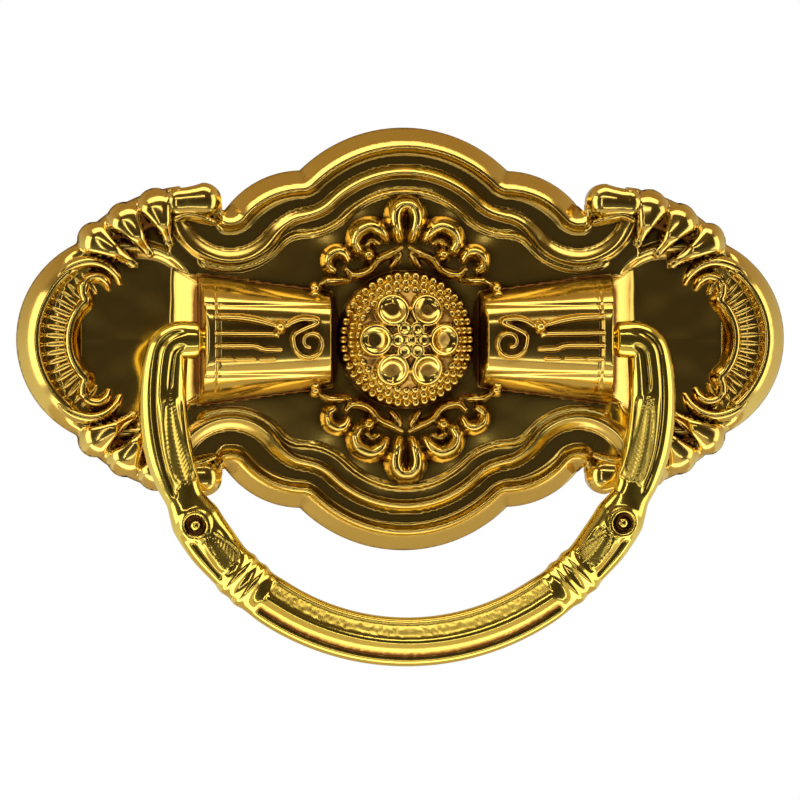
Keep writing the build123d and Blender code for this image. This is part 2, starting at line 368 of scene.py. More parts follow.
def smooth_line(path):
    """Curve through the points of a path, each (x, z, half width, rise)."""
    path = np.array(path)
    padded = np.concatenate((2 * path[:1] - path[1:2], path, 2 * path[-1:] - path[-2:-1]))
    line = []
    for a, b, c, d in zip(padded, padded[1:], padded[2:], padded[3:]):
        for number in range(LINE_PARTS):
            t = number / LINE_PARTS
            bend = (2 * a - 5 * b + 4 * c - d) * t * t + (3 * b - a - 3 * c + d) * t**3
            line.append(b + 0.5 * ((c - a) * t + bend))
    return np.array(line + [path[-1]])


def ridges(x, z, paths, level=False):
    """Rise of rounded ridges along paths of (x, z, half width, rise), or the height of level-topped ones."""
    rise = np.zeros_like(x)
    for path in paths:
        line = smooth_line(path)
        for start, end in zip(line, line[1:]):
            share, off = beside(x, z, start[:2], end[:2])
            wide = start[2] + share * (end[2] - start[2])
            tall = start[3] + share * (end[3] - start[3])
            if level:
                ridge = tall - off * off / wide
            else:
                ridge = tall * np.maximum(1 - (off / wide) ** 2, 0) ** RIDGE_POWER
            rise = np.maximum(rise, ridge)
    return rise


def spiral(center, start, end, first, turns, wide, tall):
    """Path of a curl that winds in from one radius to another, from a first angle in degrees."""
    path = []
    for share in np.linspace(0, 1, SPIRAL_POINTS):
        turn = math.radians(first + 360 * turns * share)
        radius = start + (end - start) * share
        path.append((center[0] + radius * math.cos(turn), center[1] + radius * math.sin(turn), wide, tall))
    return path


def knob(x, z, radius, rise):
    """Path of a round knob."""
    return [(x - KNOB_HALF, z, radius, rise), (x + KNOB_HALF, z, radius, rise)]


def shell_paths():
    """C-scroll, hooks and the line under the first gadroon of a quarter, with their heights."""
    middle, circle = SCROLL_CIRCLE
    turns = np.radians((-8, 0, 12, 24, 36, 46))
    scroll = [(middle + circle * math.cos(turn), circle * math.sin(turn), 0.9, 3.6) for turn in turns]
    scroll += [(46.0, 6.6, 0.8, 3.5), (46.0, 7.6, 1.0, 3.6)]
    inner = [
        (46.0, 7.4, 0.8, 3.5), (45.4, 8.6, 0.65, 3.4), (44.0, 9.0, 0.65, 3.2), (42.9, 8.4, 0.6, 2.8),
        (42.4, 7.4, 0.45, 1.9),
    ]
    outer = [
        (50.4, 7.0, 0.5, 3.0), (49.3, 9.0, 0.7, 3.5), (48.0, 10.2, 0.8, 3.7), (46.4, 10.9, 0.85, 3.7),
        (44.6, 11.1, 0.8, 3.6), (42.8, 10.5, 0.7, 3.2), (41.4, 9.3, 0.6, 2.6), (40.8, 8.2, 0.45, 1.9),
    ]
    line = [(27.4, 16.7, 0.5, 3.0), (29.2, 17.4, 0.6, 3.9), (31.2, 17.8, 0.6, 4.0), (32.8, 17.2, 0.6, 3.8)]
    return [scroll, inner, outer, line]


def palmette_paths():
    """Head, leaves and stem of the upper palmette's right half."""
    head = [
        (0.95, 14.5, 0.94, 1.01), (1.3, 15.8, 1.53, 1.9), (1.6, 17.2, 1.77, 2.24), (1.4, 18.4, 1.77, 2.24),
        (0.7, 19.2, 1.65, 2.13), (-0.4, 19.3, 1.65, 2.13),
    ]
    near = [
        (2.9, 14.4, 0.94, 1.12), (3.6, 15.5, 1.47, 1.9), (5.1, 16.2, 1.65, 2.13), (6.8, 15.4, 1.65, 2.13),
        (7.4, 13.9, 1.42, 1.79), (6.9, 12.9, 1.18, 1.46),
    ]
    vein = [(4.0, 13.7, 0.59, 0.78), (4.9, 14.1, 0.77, 1.23), (5.7, 13.6, 0.71, 1.12)]
    far = [
        (8.3, 11.5, 0.83, 1.01), (8.9, 12.4, 1.18, 1.57), (10.0, 12.6, 1.3, 1.68), (11.1, 11.8, 1.3, 1.68),
        (11.2, 10.5, 1.12, 1.34), (10.4, 9.9, 0.83, 1.01),
    ]
    stem = [
        (0.55, 13.1, 0.53, 0.67), (2.0, 12.3, 0.77, 1.34), (3.8, 11.4, 0.89, 1.57), (4.8, 10.2, 0.89, 1.57),
        (6.0, 9.4, 0.89, 1.57), (7.6, 9.2, 0.83, 1.34), (8.6, 10.0, 0.65, 1.01),
    ]
    tail = [(8.0, 8.4, 0.53, 0.67), (9.5, 8.4, 0.77, 1.23), (11.0, 8.4, 0.77, 1.23), (11.9, 8.0, 0.59, 0.78)]
    drop = [(0.8, 12.1, 0.59, 0.78), (1.3, 11.3, 0.83, 1.12), (2.0, 10.5, 0.59, 0.67)]
    knobs = [knob(5.4, 12.1, 1.3, 1.68), knob(13.0, 7.3, 1.12, 1.46)]
    return [head, near, vein, far, stem, tail, drop, *knobs]


def barrel_paths():
    """Stem, bead, volute and fingers on the right-hand barrel."""
    stem = [
        (27.4, 3.3, 0.57, 0.75), (24.4, 3.2, 0.69, 1.12), (21.8, 2.8, 0.69, 1.12), (19.4, 2.1, 0.57, 0.88),
    ]
    volute = [
        (17.6, 2.0, 0.57, 0.88), (16.4, 2.7, 0.69, 1.25), (14.9, 3.0, 0.69, 1.25), (13.2, 2.5, 0.69, 1.25),
    ]
    volute += spiral((14.2, -0.4), 2.5, 0.65, 32, -1.3, 0.6, 1.0)
    upper_finger = [
        (27.4, 1.0, 0.57, 1.0), (24.0, 0.95, 0.57, 1.0), (19.8, 0.9, 0.57, 1.0), (18.8, 0.6, 0.4, 0.5),
    ]
    lower_finger = [
        (27.4, -0.8, 0.57, 1.0), (22.4, -0.8, 0.57, 1.0), (20.6, -1.3, 0.57, 1.0), (18.4, -1.3, 0.46, 0.75),
    ]
    lines = [stem, volute, upper_finger, lower_finger, knob(18.5, 1.9, 1.21, 1.5)]
    for start, end in ((27.3, 25.4), (24.6, 22.2), (21.2, 19.4)):
        lines.append([(start, -2.7, 0.45, 0.6), (end, -2.7, 0.5, 0.7)])
    return lines


def ornament(x, z):
    """Rise of the palmettes and the barrels' lines over the pressed plate."""
    return np.maximum(ridges(np.abs(x), np.abs(z), palmette_paths()), ridges(np.abs(x), z, barrel_paths()))


class PressedPlate:
    """Front of the pressed plate as a height over the drawer face, in millimetres."""

    # Fillets where surfaces meet, and the steepness of the cuts that end a surface
    FINE = 0.25
    SMALL = 0.3
    MIDDLE = 0.4
    BROAD = 0.5
    CUT_SLOPE = 3
    NOTCH = (25.1, 19.3)
    SHOULDER_MIDDLE = (20.5, 22.9)
    PANEL_REACH = 34.6
    # Channel: inset of the rim's crest, where the channel spreads along the shoulder and by what share
    CREST_INSET = 3.2
    CHANNEL_SPREADS = (13, 20)
    CHANNEL_SPREAD = 0.3
    # Where the channel closes past the notch, and the height at which its bead sinks there
    CHANNEL_CLOSES = (25.8, 27.4)
    BEAD_SINKS = (18.6, 17.2)
    STEP_ENDS = (30.0, 28.5)
    # Gentle crowning of the field: in from the edge, out from the rosette, short of the bowl, and its rise
    CROWN_INSET = (7.4, 13.0)
    CROWN_STARTS = (10.5, 14.0)
    CROWN_ENDS = (30.0, 25.0)
    CROWN_RISE = 0.5
    # Unevenness of the ground, and the inset at which it sets in
    WAVES = 0.05
    WAVES_INSET = (7.5, 9.5)
    # Root, tip, radius at each and height of the root, for the gadroons of a quarter
    LOBES = (
        ((32.2, 19.5), (28.9, 19.75), 2.1, 2.6, 4.2),
        ((33.7, 13.7), (35.6, 18.9), 0.55, 2.75, 2.9),
        ((36.5, 12.2), (40.0, 17.0), 0.55, 2.65, 2.7),
        ((38.8, 10.8), (44.3, 14.3), 0.55, 2.5, 2.6),
    )
    # Where along a gadroon it swells to its height, how round it is, where it starts to fall and how fast
    LOBE_SWELL = (0, 0.6)
    LOBE_ROUND = 0.8
    LOBE_CREST = 0.3
    LOBE_FALL = 0.0055
    # Rolled edge between the gadroons: three points of its arc, where it starts and what it covers
    WEB_EDGE = ((28.0, 21.9), (40.6, 19.2), (48.2, 12.0))
    WEB_START = 26.2
    WEB_REACH = (32.6, 50.6)
    # Turn from the shell's axis at which its rim gives way to the gadroons
    RIM_FADES = (math.radians(62), math.radians(50))
    # Bowl: where its wall stands as a share of its oval, the oval's power, dish of its floor, slope outside
    BOWL_EDGE = (0.8, 1.02)
    BOWL_POWER = 2.6
    BOWL_DISH = 0.2
    BOWL_LIP = 7
    DOME_SKIRT = 2
    # Barrel: powers of its section, how deep it is rooted, and the drop beside it
    BARREL_ROUND = (3.2, 0.8)
    BARREL_ROOT = 0.3
    BARREL_DROP = 3
    # Lean of its ends, reach of the outer one, and the chamfer above that
    BARREL_START_LEAN = 0.9
    BARREL_END_LEAN = 1.1
    BARREL_END_REACH = 0.6
    BARREL_CHAMFER = 0.8
    CHAMFER_RISE = 0.2
    # Cove between a barrel's end and the bowl: start, height there, slope; slope and drop of its sides
    BARREL_COVE = (30.1, 3.6, 0.75)
    COVE_SIDES = (1.6, 0.7)
    # Flute, and the collar with its ramp and groove: place, width, depth
    BARREL_FLUTE = (4.9, 0.3, 0.2)
    COLLAR_WIDTH = 0.8
    COLLAR_HEIGHT = 0.22
    COLLAR_RAMP = (-0.15, 0.2)
    COLLAR_GROOVE = (-0.4, 0.25, 0.25)

    def __init__(self, size):
        self.size = size
        corner = (size.crown_half_width, size.shoulder_height)
        notch = self.NOTCH
        self.crown = Arc((-corner[0], corner[1]), (0, size.crown_height), corner)
        self.shoulder = Arc(corner, self.SHOULDER_MIDDLE, notch)
        self.waist = Arc(notch, (size.waist_half_width, 0), (notch[0], -notch[1]))
        self.web = Arc(*self.WEB_EDGE)
        self.boss_sphere = (size.boss_radius**2 + size.boss_rise**2) / (2 * size.boss_rise)
        self.boss_center = size.field_height + size.boss_rise - self.boss_sphere

    def edge_inset(self, x, z):
        """Distance in from the waved edge, and past the notch the distance from the notch."""
        near = np.minimum(self.crown.distance(x, z), self.shoulder.distance(x, z))
        crown = self.crown.z + np.sqrt(np.maximum(self.crown.radius**2 - x * x, 0))
        shoulder = self.shoulder.radius**2 - (x - self.shoulder.x) ** 2
        shoulder = self.shoulder.z + np.sqrt(np.maximum(shoulder, 0))
        top = np.where(x < self.size.crown_half_width, crown, shoulder)
        return np.where((x <= self.NOTCH[0]) & (z > top), -near, near)

    def outline_inset(self, x, z):
        """Distance in from the edge of the whole plate, negative outside."""
        x, z = np.abs(x), np.abs(z)
        size = self.size
        edge = self.edge_inset(x, z)
        side = self.waist.radius - np.hypot(x - self.waist.x, z)
        past_notch = np.where(z < self.NOTCH[1], np.minimum(side, edge), -edge)
        panel = np.where(x <= self.NOTCH[0], edge, past_notch)
        inset = np.maximum(panel, size.end_radius - np.hypot(x - size.end_center, z))
        web = self.web.radius - np.hypot(x - self.web.x, z - self.web.z)
        start = np.where(z < self.NOTCH[1], self.WEB_START, self.LOBES[0][0][0])
        ends = np.minimum(x - start, self.WEB_EDGE[2][0] - x)
        inset = np.maximum(inset, np.minimum(web, ends))
        for root, tip, root_radius, tip_radius, _ in self.LOBES:
            inset = np.maximum(inset, finger(x, z, root, tip, root_radius, tip_radius)[0])
        return inset

    def dome(self, radius):
        """Height of the dome under the rosette."""
        inside = np.maximum(self.boss_sphere**2 - radius * radius, 0)
        near = radius < self.size.boss_radius + self.DOME_SKIRT
        return np.where(near, self.boss_center + np.sqrt(inside), 0)

    def barrel(self, x, z):
        """Height of a barrel with its leaning ends, two flutes and a thin collar."""
        size = self.size
        run = (x - size.barrel_start) / (size.barrel_end - size.barrel_start)
        foot = size.barrel_small_foot + (size.barrel_large_foot - size.barrel_small_foot) * run
        rise = size.barrel_small_rise + (size.barrel_large_rise - size.barrel_small_rise) * run
        past_collar = x - (size.barrel_end - self.COLLAR_WIDTH)
        rise = rise + self.COLLAR_HEIGHT * fade(*self.COLLAR_RAMP, past_collar)
        for at, (place, wide, deep) in ((past_collar, self.COLLAR_GROOVE), (z, self.BARREL_FLUTE)):
            rise = rise - deep * bell(at, place, wide)
        power, rounding = self.BARREL_ROUND
        across = np.maximum(1 - np.abs(z / foot) ** power, 0) ** rounding
        body = size.field_height - self.BARREL_ROOT + (rise + self.BARREL_ROOT) * across
        body = body - self.BARREL_DROP * (z > foot)
        top = size.field_height + size.barrel_large_rise + self.COLLAR_HEIGHT
        start = (x - size.barrel_start) / self.BARREL_START_LEAN * top
        chamfer = top + self.CHAMFER_RISE - self.BARREL_CHAMFER * (x - size.barrel_end)
        last = size.barrel_end + self.BARREL_END_REACH + self.BARREL_END_LEAN
        end = (last - x) / self.BARREL_END_LEAN * top
        for cut, fillet in ((start, self.MIDDLE), (chamfer, self.SMALL), (end, self.BROAD)):
            body = lower(body, cut, fillet)
        place, high, slope = self.BARREL_COVE
        side_slope, side_drop = self.COVE_SIDES
        sides = side_slope * (foot - z) + size.field_height - side_drop
        cove = lower(high - slope * (x - place), sides, self.MIDDLE)
        return np.where(x > size.barrel_end, upper(body, cove, self.BROAD), body)

    def mouldings(self, x, z):
        """Rim, channel, bead and step that follow the waved edge and close round the notch."""
        inset = self.edge_inset(x, z)
        past = np.maximum(inset - self.CREST_INSET, 0)
        spread = inset - past * self.CHANNEL_SPREAD * fade(*self.CHANNEL_SPREADS, x)
        body = profile(FRAME_PROFILE, spread)
        ground = CLOSED_PROFILE[0][1]
        closed = ground + (profile(CLOSED_PROFILE, spread) - ground) * fade(*self.BEAD_SINKS, z)
        body = body + (closed - body) * fade(*self.CHANNEL_CLOSES, x)
        crown = fade(*self.CROWN_INSET, inset) * fade(*self.CROWN_STARTS, np.hypot(x, z))
        body = body + self.CROWN_RISE * crown * fade(*self.CROWN_ENDS, x)
        waves = np.sin(0.9 * x + 1.3) * np.sin(0.8 * z + 0.7) + np.sin(0.55 * x - 0.9 * z)
        body = body + self.WAVES * waves * fade(*self.WAVES_INSET, inset)
        body = body + profile(STEP_PROFILE, inset) * fade(*self.STEP_ENDS, x)
        return lower(body, self.CUT_SLOPE * (self.PANEL_REACH - x), self.BROAD)

    def bowl(self, x, z):
        """Height of the sunk bowl of a shell end, which opens upwards past its edge."""
        size = self.size
        power = self.BOWL_POWER
        oval = np.abs((x - size.bowl_center) / size.bowl_half_width) ** power
        oval = (oval + (z / size.bowl_half_height) ** power) ** (1 / power)
        floor = size.rim_height - size.bowl_depth + self.BOWL_DISH * np.minimum(oval, 1) ** 2
        wall = (size.bowl_depth - self.BOWL_DISH) * fade(*self.BOWL_EDGE, oval)
        past = self.BOWL_LIP * np.maximum(oval - self.BOWL_EDGE[1], 0)
        waves = np.sin(0.8 * x + 0.5 * z) + np.sin(0.9 * z - 0.5 * x + 1.0)
        return floor + wall + past + self.WAVES * waves

    def shell(self, body, x, z):
        """The body with a shell end: its rim, the rolled edge, the bowl and the gadroons."""
        size = self.size
        radius = np.hypot(x - size.end_center, z)
        turn = np.abs(np.arctan2(z, x - size.end_center))
        plain = profile(END_PLAIN, radius)
        end = plain + (profile(END_PROFILE, radius) - plain) * fade(*self.RIM_FADES, turn)
        body = upper(body, np.where(radius < size.end_radius, end, 0), self.SMALL)
        web = self.web.radius - np.hypot(x - self.web.x, z - self.web.z)
        roll = np.where(web > 0, profile(ROLL_PROFILE, web), 0)
        ends = np.minimum(x - self.WEB_REACH[0], self.WEB_REACH[1] - x)
        body = upper(body, lower(roll, self.CUT_SLOPE * ends, self.BROAD), self.FINE)
        body = lower(body, self.bowl(x, z), self.BROAD)
        for root, tip, root_radius, tip_radius, root_height in self.LOBES:
            inside, wide, share = finger(x, z, root, tip, root_radius, tip_radius)
            round_top = np.sqrt(np.maximum(wide**2 - (wide - inside) ** 2, 0))
            top = root_height + (size.lobe_height - root_height) * fade(*self.LOBE_SWELL, share)
            reach = math.dist(root, tip)
            along = ((x - root[0]) * (tip[0] - root[0]) + (z - root[1]) * (tip[1] - root[1])) / reach
            fall = self.LOBE_FALL * np.maximum(along - self.LOBE_CREST * reach, 0) ** 3
            lobe = top - self.LOBE_ROUND * (wide - round_top) - fall
            body = upper(body, np.where(inside > 0, lobe, 0), self.SMALL)
        return body

    def height(self, x, z):
        """Height of the front."""
        x, z = np.abs(x), np.abs(z)
        body = self.shell(self.mouldings(x, z), x, z)
        body = upper(body, self.barrel(x, z), self.MIDDLE)
        return upper(body, self.dome(np.hypot(x, z)), self.SMALL)


# Meshes


def link_mesh(name, points, faces, smooth=True):
    """New object with its mesh at the origin, from points in millimetres (x, out, up)."""
    points = np.asarray(points, dtype=float)
    placed = np.stack((points[:, 0], -points[:, 1], points[:, 2]), axis=1) * MM
    mesh = bpy.data.meshes.new(name)
    mesh.from_pydata(placed.tolist(), [], [tuple(int(i) for i in face) for face in faces])
    mesh.validate()
    mesh.polygons.foreach_set("use_smooth", [smooth] * len(mesh.polygons))
    piece = bpy.data.objects.new(name, mesh)
    bpy.context.collection.objects.link(piece)
    return piece


def outward(piece):
    """Turn the faces of a closed mesh outwards."""
    shape = bmesh.new()
    shape.from_mesh(piece.data)
    bmesh.ops.recalc_face_normals(shape, faces=shape.faces)
    shape.to_mesh(piece.data)
    shape.free()


def paint(piece, name, values):
    """Store one number for each point of a piece."""
    attribute = piece.data.attributes.new(name, "FLOAT", "POINT")
    attribute.data.foreach_set("value", np.asarray(values, dtype=np.float32))


def bake(piece):
    """Put the result of a piece's modifiers in its own mesh."""
    graph = bpy.context.evaluated_depsgraph_get()
    mesh = bpy.data.meshes.new_from_object(piece.evaluated_get(graph))
    piece.modifiers.clear()
    piece.data = mesh


def blurred(grid, reach):
    """Average of a grid over a square of the given reach in cells."""
    for axis in (0, 1):
        padded = np.pad(grid, [(reach, reach) if a == axis else (0, 0) for a in (0, 1)], mode="edge")
        total = np.cumsum(padded, axis=axis)
        span = 2 * reach + 1
        first = np.take(total, [span - 1], axis=axis)
        rest = np.take(total, range(span, total.shape[axis]), axis=axis)
        rest = rest - np.take(total, range(0, total.shape[axis] - span), axis=axis)
        grid = np.concatenate((first, rest), axis=axis) / span
    return grid


def hollow_back(front, step, sheet):
    """Back of a sheet of even thickness behind a front given on a grid."""
    reach = int(sheet / step)
    padded = np.pad(front, reach)
    back = np.full_like(front, np.inf)
    for i in range(-reach, reach + 1):
        for j in range(-reach, reach + 1):
            off = (i * i + j * j) * step * step
            if off < sheet * sheet:
                part = padded[reach + i: reach + i + front.shape[0], reach + j: reach + j + front.shape[1]]
                back = np.minimum(back, part - math.sqrt(sheet * sheet - off))
    return np.maximum(back, 0)


def closed_sheet(x, z, front, back, keep):
    """Points and faces of a closed sheet between two heights on a grid, and the grid points that it uses."""
    cell = keep[:-1, :-1] & keep[1:, :-1] & keep[1:, 1:] & keep[:-1, 1:]
    a, b, c, d = cell[:-1, :-1], cell[1:, :-1], cell[:-1, 1:], cell[1:, 1:]
    for _ in range(PINCH_PASSES):
        pinch = (a & d & ~b & ~c) | (b & c & ~a & ~d)
        for corner in (a, b, c, d):
            corner |= pinch
    number = np.arange(x.size).reshape(x.shape)
    corners = (number[:-1, :-1], number[1:, :-1], number[1:, 1:], number[:-1, 1:])
    quads = np.stack([corner[cell] for corner in corners], axis=1)
    edges = np.concatenate([quads[:, [side, (side + 1) % 4]] for side in range(4)])
    codes = edges[:, 0].astype(np.int64) * x.size + edges[:, 1]
    turned = edges[:, 1].astype(np.int64) * x.size + edges[:, 0]
    rim = edges[~np.isin(codes, turned)]
    walls = np.stack((rim[:, 1], rim[:, 0], rim[:, 0] + x.size, rim[:, 1] + x.size), axis=1)
    faces = np.concatenate((quads, quads[:, ::-1] + x.size, walls))
    used, packed = np.unique(faces, return_inverse=True)
    height = np.concatenate((front.ravel(), back.ravel()))
    points = np.stack((np.tile(x.ravel(), 2), height, np.tile(z.ravel(), 2)), axis=1)[used]
    return points, packed.reshape(faces.shape), used


def capped_rings(rings, first, last):
    """Points and faces of closed rings joined in a row, each end drawn in to a point."""
    count, sides, _ = rings.shape
    points = np.concatenate((rings.reshape(-1, 3), [first, last]))
    spot = np.arange(sides)
    following = (spot + 1) % sides
    faces = []
    for row in range(0, (count - 1) * sides, sides):
        after = row + sides
        faces += zip(row + spot, after + spot, after + following, row + following)
    end = (count - 1) * sides
    faces += zip(np.full(sides, count * sides), spot, following)
    faces += zip(np.full(sides, count * sides + 1), end + following, end + spot)
    return points, faces


def slopes(surface, x, z, span):
    """Slopes of a surface along x and along z."""
    slope_x = (surface(x + span, z) - surface(x - span, z)) / (2 * span)
    slope_z = (surface(x, z + span) - surface(x, z - span)) / (2 * span)
    return slope_x, slope_z


def facing(slope_x, slope_z):
    """Directions square to a front with the given slopes, of any length."""
    return np.stack((-slope_x.ravel(), -np.ones(slope_x.size), -slope_z.ravel()), axis=1)


def sheet_mesh(plate):
    """Closed sheet of the pressed plate: points, faces, brown of painted shade and patina, facing of the
    front, and what lies behind.
    """
    step = plate.size.grid_step
    lines = []
    for reach in (plate.size.end_center + plate.size.end_radius, plate.size.crown_height):
        cells = math.ceil((reach + step) / step)
        lines.append((np.arange(-cells, cells) + 0.5) * step)
    x, z = np.meshgrid(*lines, indexing="ij")
    inset = plate.outline_inset(x, z)
    slope_x, slope_z = slopes(plate.outline_inset, x, z, OUTLINE_SPAN)
    near = np.abs(inset) < SNAP * step
    steep = np.maximum(slope_x**2 + slope_z**2, LEAST_STEEPNESS)
    x = x - np.where(near, inset * slope_x / steep, 0)
    z = z - np.where(near, inset * slope_z / steep, 0)
    keep = inset > -SNAP * step
    front = np.where(keep, np.maximum(plate.height(x, z), SHEET_EDGE), 0)
    back = hollow_back(np.where(inset > 0, front, 0), step, plate.size.sheet)
    back = np.where(inset > SNAP * step, back, 0)
    # Painted shade and patina: brown where the front lies below its blurred surroundings
    reach, deep = PLATE_SHADE_AND_PATINA
    shade_and_patina = np.clip((blurred(front + ornament(x, z), reach) - front) / deep, 0, 1)
    normal = facing(*slopes(plate.height, x, z, FRONT_SPAN))
    edge = facing(EDGE_LEAN * slope_x, EDGE_LEAN * slope_z)
    normal = np.where((inset < SHEET_EDGE).ravel()[:, None], edge, normal)
    normal = normal / np.linalg.norm(normal, axis=1)[:, None]
    normal = np.concatenate((normal, np.zeros_like(normal)))
    points, faces, used = closed_sheet(x, z, front, back, keep)
    tone = np.concatenate((shade_and_patina.ravel(), np.full(x.size, BACK_TONE)))
    return points, faces, tone[used], normal[used], used >= x.size


def relief_piece(name, rise_at, box, plate):
    """Piece of chased relief that grows out of the plate inside a box of x and z."""
    low_x, high_x, low_z, high_z = box
    lines = (np.arange(low_x, high_x, RELIEF_STEP), np.arange(low_z, high_z, RELIEF_STEP))
    x, z = np.meshgrid(*lines, indexing="ij")
    ground = plate.height(x, z)
    rise = rise_at(x, z, ground)
    top = ground + rise
    # Painted shade and patina: brown in the relief's hollows and at its foot on the plate
    reach, deep = RELIEF_SHADE_AND_PATINA
    shade_and_patina = np.clip((blurred(top, reach) - top) / deep, 0, 1)
    tone, clears = FOOT_SHADE_AND_PATINA
    shade_and_patina = np.maximum(shade_and_patina, np.clip(tone - rise / clears, 0, 1))
    keep = rise > RELIEF_SINK / 2
    points, faces, used = closed_sheet(x, z, top - RELIEF_SINK, ground - RELIEF_ROOT, keep)
    piece = link_mesh(name, points, faces)
    paint(piece, "shade_and_patina", np.tile(shade_and_patina.ravel(), 2)[used])
    outward(piece)
    finish_piece(piece, "plate", "chased_brass")


# Node trees


class Socket:
    """Output of a node, with arithmetic that adds Math nodes."""

    def __init__(self, graph, output):
        self.graph = graph
        self.output = output

    def beside(self, result):
        """Another output of the same node."""
        return Socket(self.graph, self.output.node.outputs[result])

    def _math(self, operation, *values):
        return self.graph.add("ShaderNodeMath", {"operation": operation}, dict(enumerate(values)))

    def __add__(self, other):
        return self._math("ADD", self, other)

    __radd__ = __add__

    def __sub__(self, other):
        return self._math("SUBTRACT", self, other)

    def __rsub__(self, other):
        return self._math("SUBTRACT", other, self)

    def __mul__(self, other):
        return self._math("MULTIPLY", self, other)

    def clamped(self):
        """The value kept between 0 and 1."""
        return self._math("MINIMUM", self._math("MAXIMUM", self, 0.0), 1.0)


class Graph:
    """Node tree of a material, a world or a modifier."""

    def __init__(self, tree):
        self.tree = tree
        tree.nodes.clear()

    def add(self, kind, settings=None, sockets=None, result=0):
        """Node of a type with its settings, then the values or links of its sockets."""
        node = self.tree.nodes.new(kind)
        for name, value in (settings or {}).items():
            setattr(node, name, value)
        for name, value in (sockets or {}).items():
            if isinstance(value, Socket):
                self.tree.links.new(value.output, node.inputs[name])
            else:
                node.inputs[name].default_value = value
        return Socket(self, node.outputs[result]) if len(node.outputs) else node

    def mix(self, share, first, second):
        """Colour between two colours."""
        settings = {"data_type": "RGBA"}
        first = first if isinstance(first, Socket) else (*first, 1.0)
        second = second if isinstance(second, Socket) else (*second, 1.0)
        return self.add("ShaderNodeMix", settings, {0: share, 6: first, 7: second}, result=2)

    def noise(self, place, scale, detail):
        """Noise at a place."""
        return self.add("ShaderNodeTexNoise", None, {"Vector": place, "Scale": scale, "Detail": detail})

    def attribute(self, name):
        """Number that was stored for each point of a piece."""
        return self.add("ShaderNodeAttribute", {"attribute_name": name}, result=2)

    def vector(self, **parts):
        """Vector with the given parts, and nothing in the others."""
        return self.add("ShaderNodeCombineXYZ", None, parts)


def brass(name):
    """Polished brass with a mellow tone in patches, brown painted shade and patina in the hollows, and fine
    polishing marks.
    """
    tint = bpy.context.scene.ring_pull_brass
    polished, toned = tint.polished, tint.toned
    if name == "cast_brass":
        polished, toned = tint.cast_polished, tint.cast_toned
    gloss, grain = BRASS[name]
    material = bpy.data.materials.new(name)
    material.use_nodes = True
    graph = Graph(material.node_tree)
    place = graph.add("ShaderNodeTexCoord", result=3)
    patches = graph.noise(place, PATCH_SCALE, 3.0)
    fine = graph.noise(place, FINE_SCALE, 4.0)
    rubbed = {"Vector": place, "Rotation": MARK_TURN, "Scale": MARK_SCALE}
    marks = graph.noise(graph.add("ShaderNodeMapping", None, rubbed), 1.0, 2.0)
    # Painted shade and patina: the stored amount mixes dark brown into the colour
    shade_and_patina = graph.attribute("shade_and_patina")
    start, contrast, strength = PATCHES
    mellow = ((patches - start) * contrast).clamped()
    base = graph.mix(mellow * strength, polished, toned)
    strength, ragged = SHADE_AND_PATINA_STRENGTH
    brown = (shade_and_patina * strength + shade_and_patina * (fine - 0.5) * ragged).clamped()
    base = graph.mix(brown, base, tint.shade_and_patina)
    roughness = gloss + patches * PATCH_MATT + (fine - 0.5) * GRAIN_MATT
    roughness = roughness + brown * SHADE_AND_PATINA_MATT + graph.attribute("matt") * FULL_MATT
    relief = {"Height": fine * 0.5 + marks * 0.5, "Strength": grain, "Distance": MARK_HEIGHT}
    bump = graph.add("ShaderNodeBump", None, relief)
    surface = {"Base Color": base, "Metallic": 1.0, "Roughness": roughness, "Normal": bump}
    shader = graph.add("ShaderNodeBsdfPrincipled", None, surface)
    graph.add("ShaderNodeOutputMaterial", None, {"Surface": shader})
    return material


def brass_of(name):
    """The named brass, made on first use."""
    return bpy.data.materials.get(name) or brass(name)


def finish_piece(piece, body, brass_name):
    """Give a piece its brass, and tie it to its body."""
    piece.data.materials.clear()
    piece.data.materials.append(brass_of(brass_name))
    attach(piece, body)


def geometry_tree(name, inputs):
    """New geometry tree, and its named inputs: a whole number for the count, and lengths or angles."""
    tree = bpy.data.node_groups.new(name, "GeometryNodeTree")
    tree.interface.new_socket("Geometry", in_out="INPUT", socket_type="NodeSocketGeometry")
    for label in inputs:
        kind = "NodeSocketInt" if label == "Count" else "NodeSocketFloat"
        tree.interface.new_socket(label, in_out="INPUT", socket_type=kind)
    tree.interface.new_socket("Geometry", in_out="OUTPUT", socket_type="NodeSocketGeometry")
    graph = Graph(tree)
    entry = graph.add("NodeGroupInput")
    return graph, {label: entry.beside(label) for label in inputs}


def close_tree(graph, geometry, shift):
    """End a geometry tree: shift what stands on the ground, face it to the front and clad it in brass."""
    moved = graph.add("GeometryNodeTransform", None, {"Geometry": geometry, "Translation": shift})
    turn = (math.pi / 2, 0.0, 0.0)
    faced = graph.add("GeometryNodeTransform", None, {"Geometry": moved, "Rotation": turn})
    real = graph.add("GeometryNodeRealizeInstances", None, {"Geometry": faced})
    smooth = graph.add("GeometryNodeSetShadeSmooth", None, {"Geometry": real})
    cover = {"Geometry": smooth, "Material": brass_of("chased_brass")}
    graph.add("NodeGroupOutput", None, {0: graph.add("GeometryNodeSetMaterial", None, cover)})
    return graph.tree


def bead_ring_tree():
    """Geometry tree for a ring of beads that faces the front."""
    graph, given = geometry_tree("bead_ring", ("Count", "Ring", "Bead", "Rise"))
    circle = {"Vertices": given["Count"], "Radius": given["Ring"]}
    ring = graph.add("GeometryNodeMeshCircle", None, circle)
    bead = graph.add("GeometryNodeMeshIcoSphere", None, {"Radius": given["Bead"], "Subdivisions": 3})
    beads = graph.add("GeometryNodeInstanceOnPoints", None, {"Points": ring, "Instance": bead})
    return close_tree(graph, beads, graph.vector(Z=given["Rise"]))


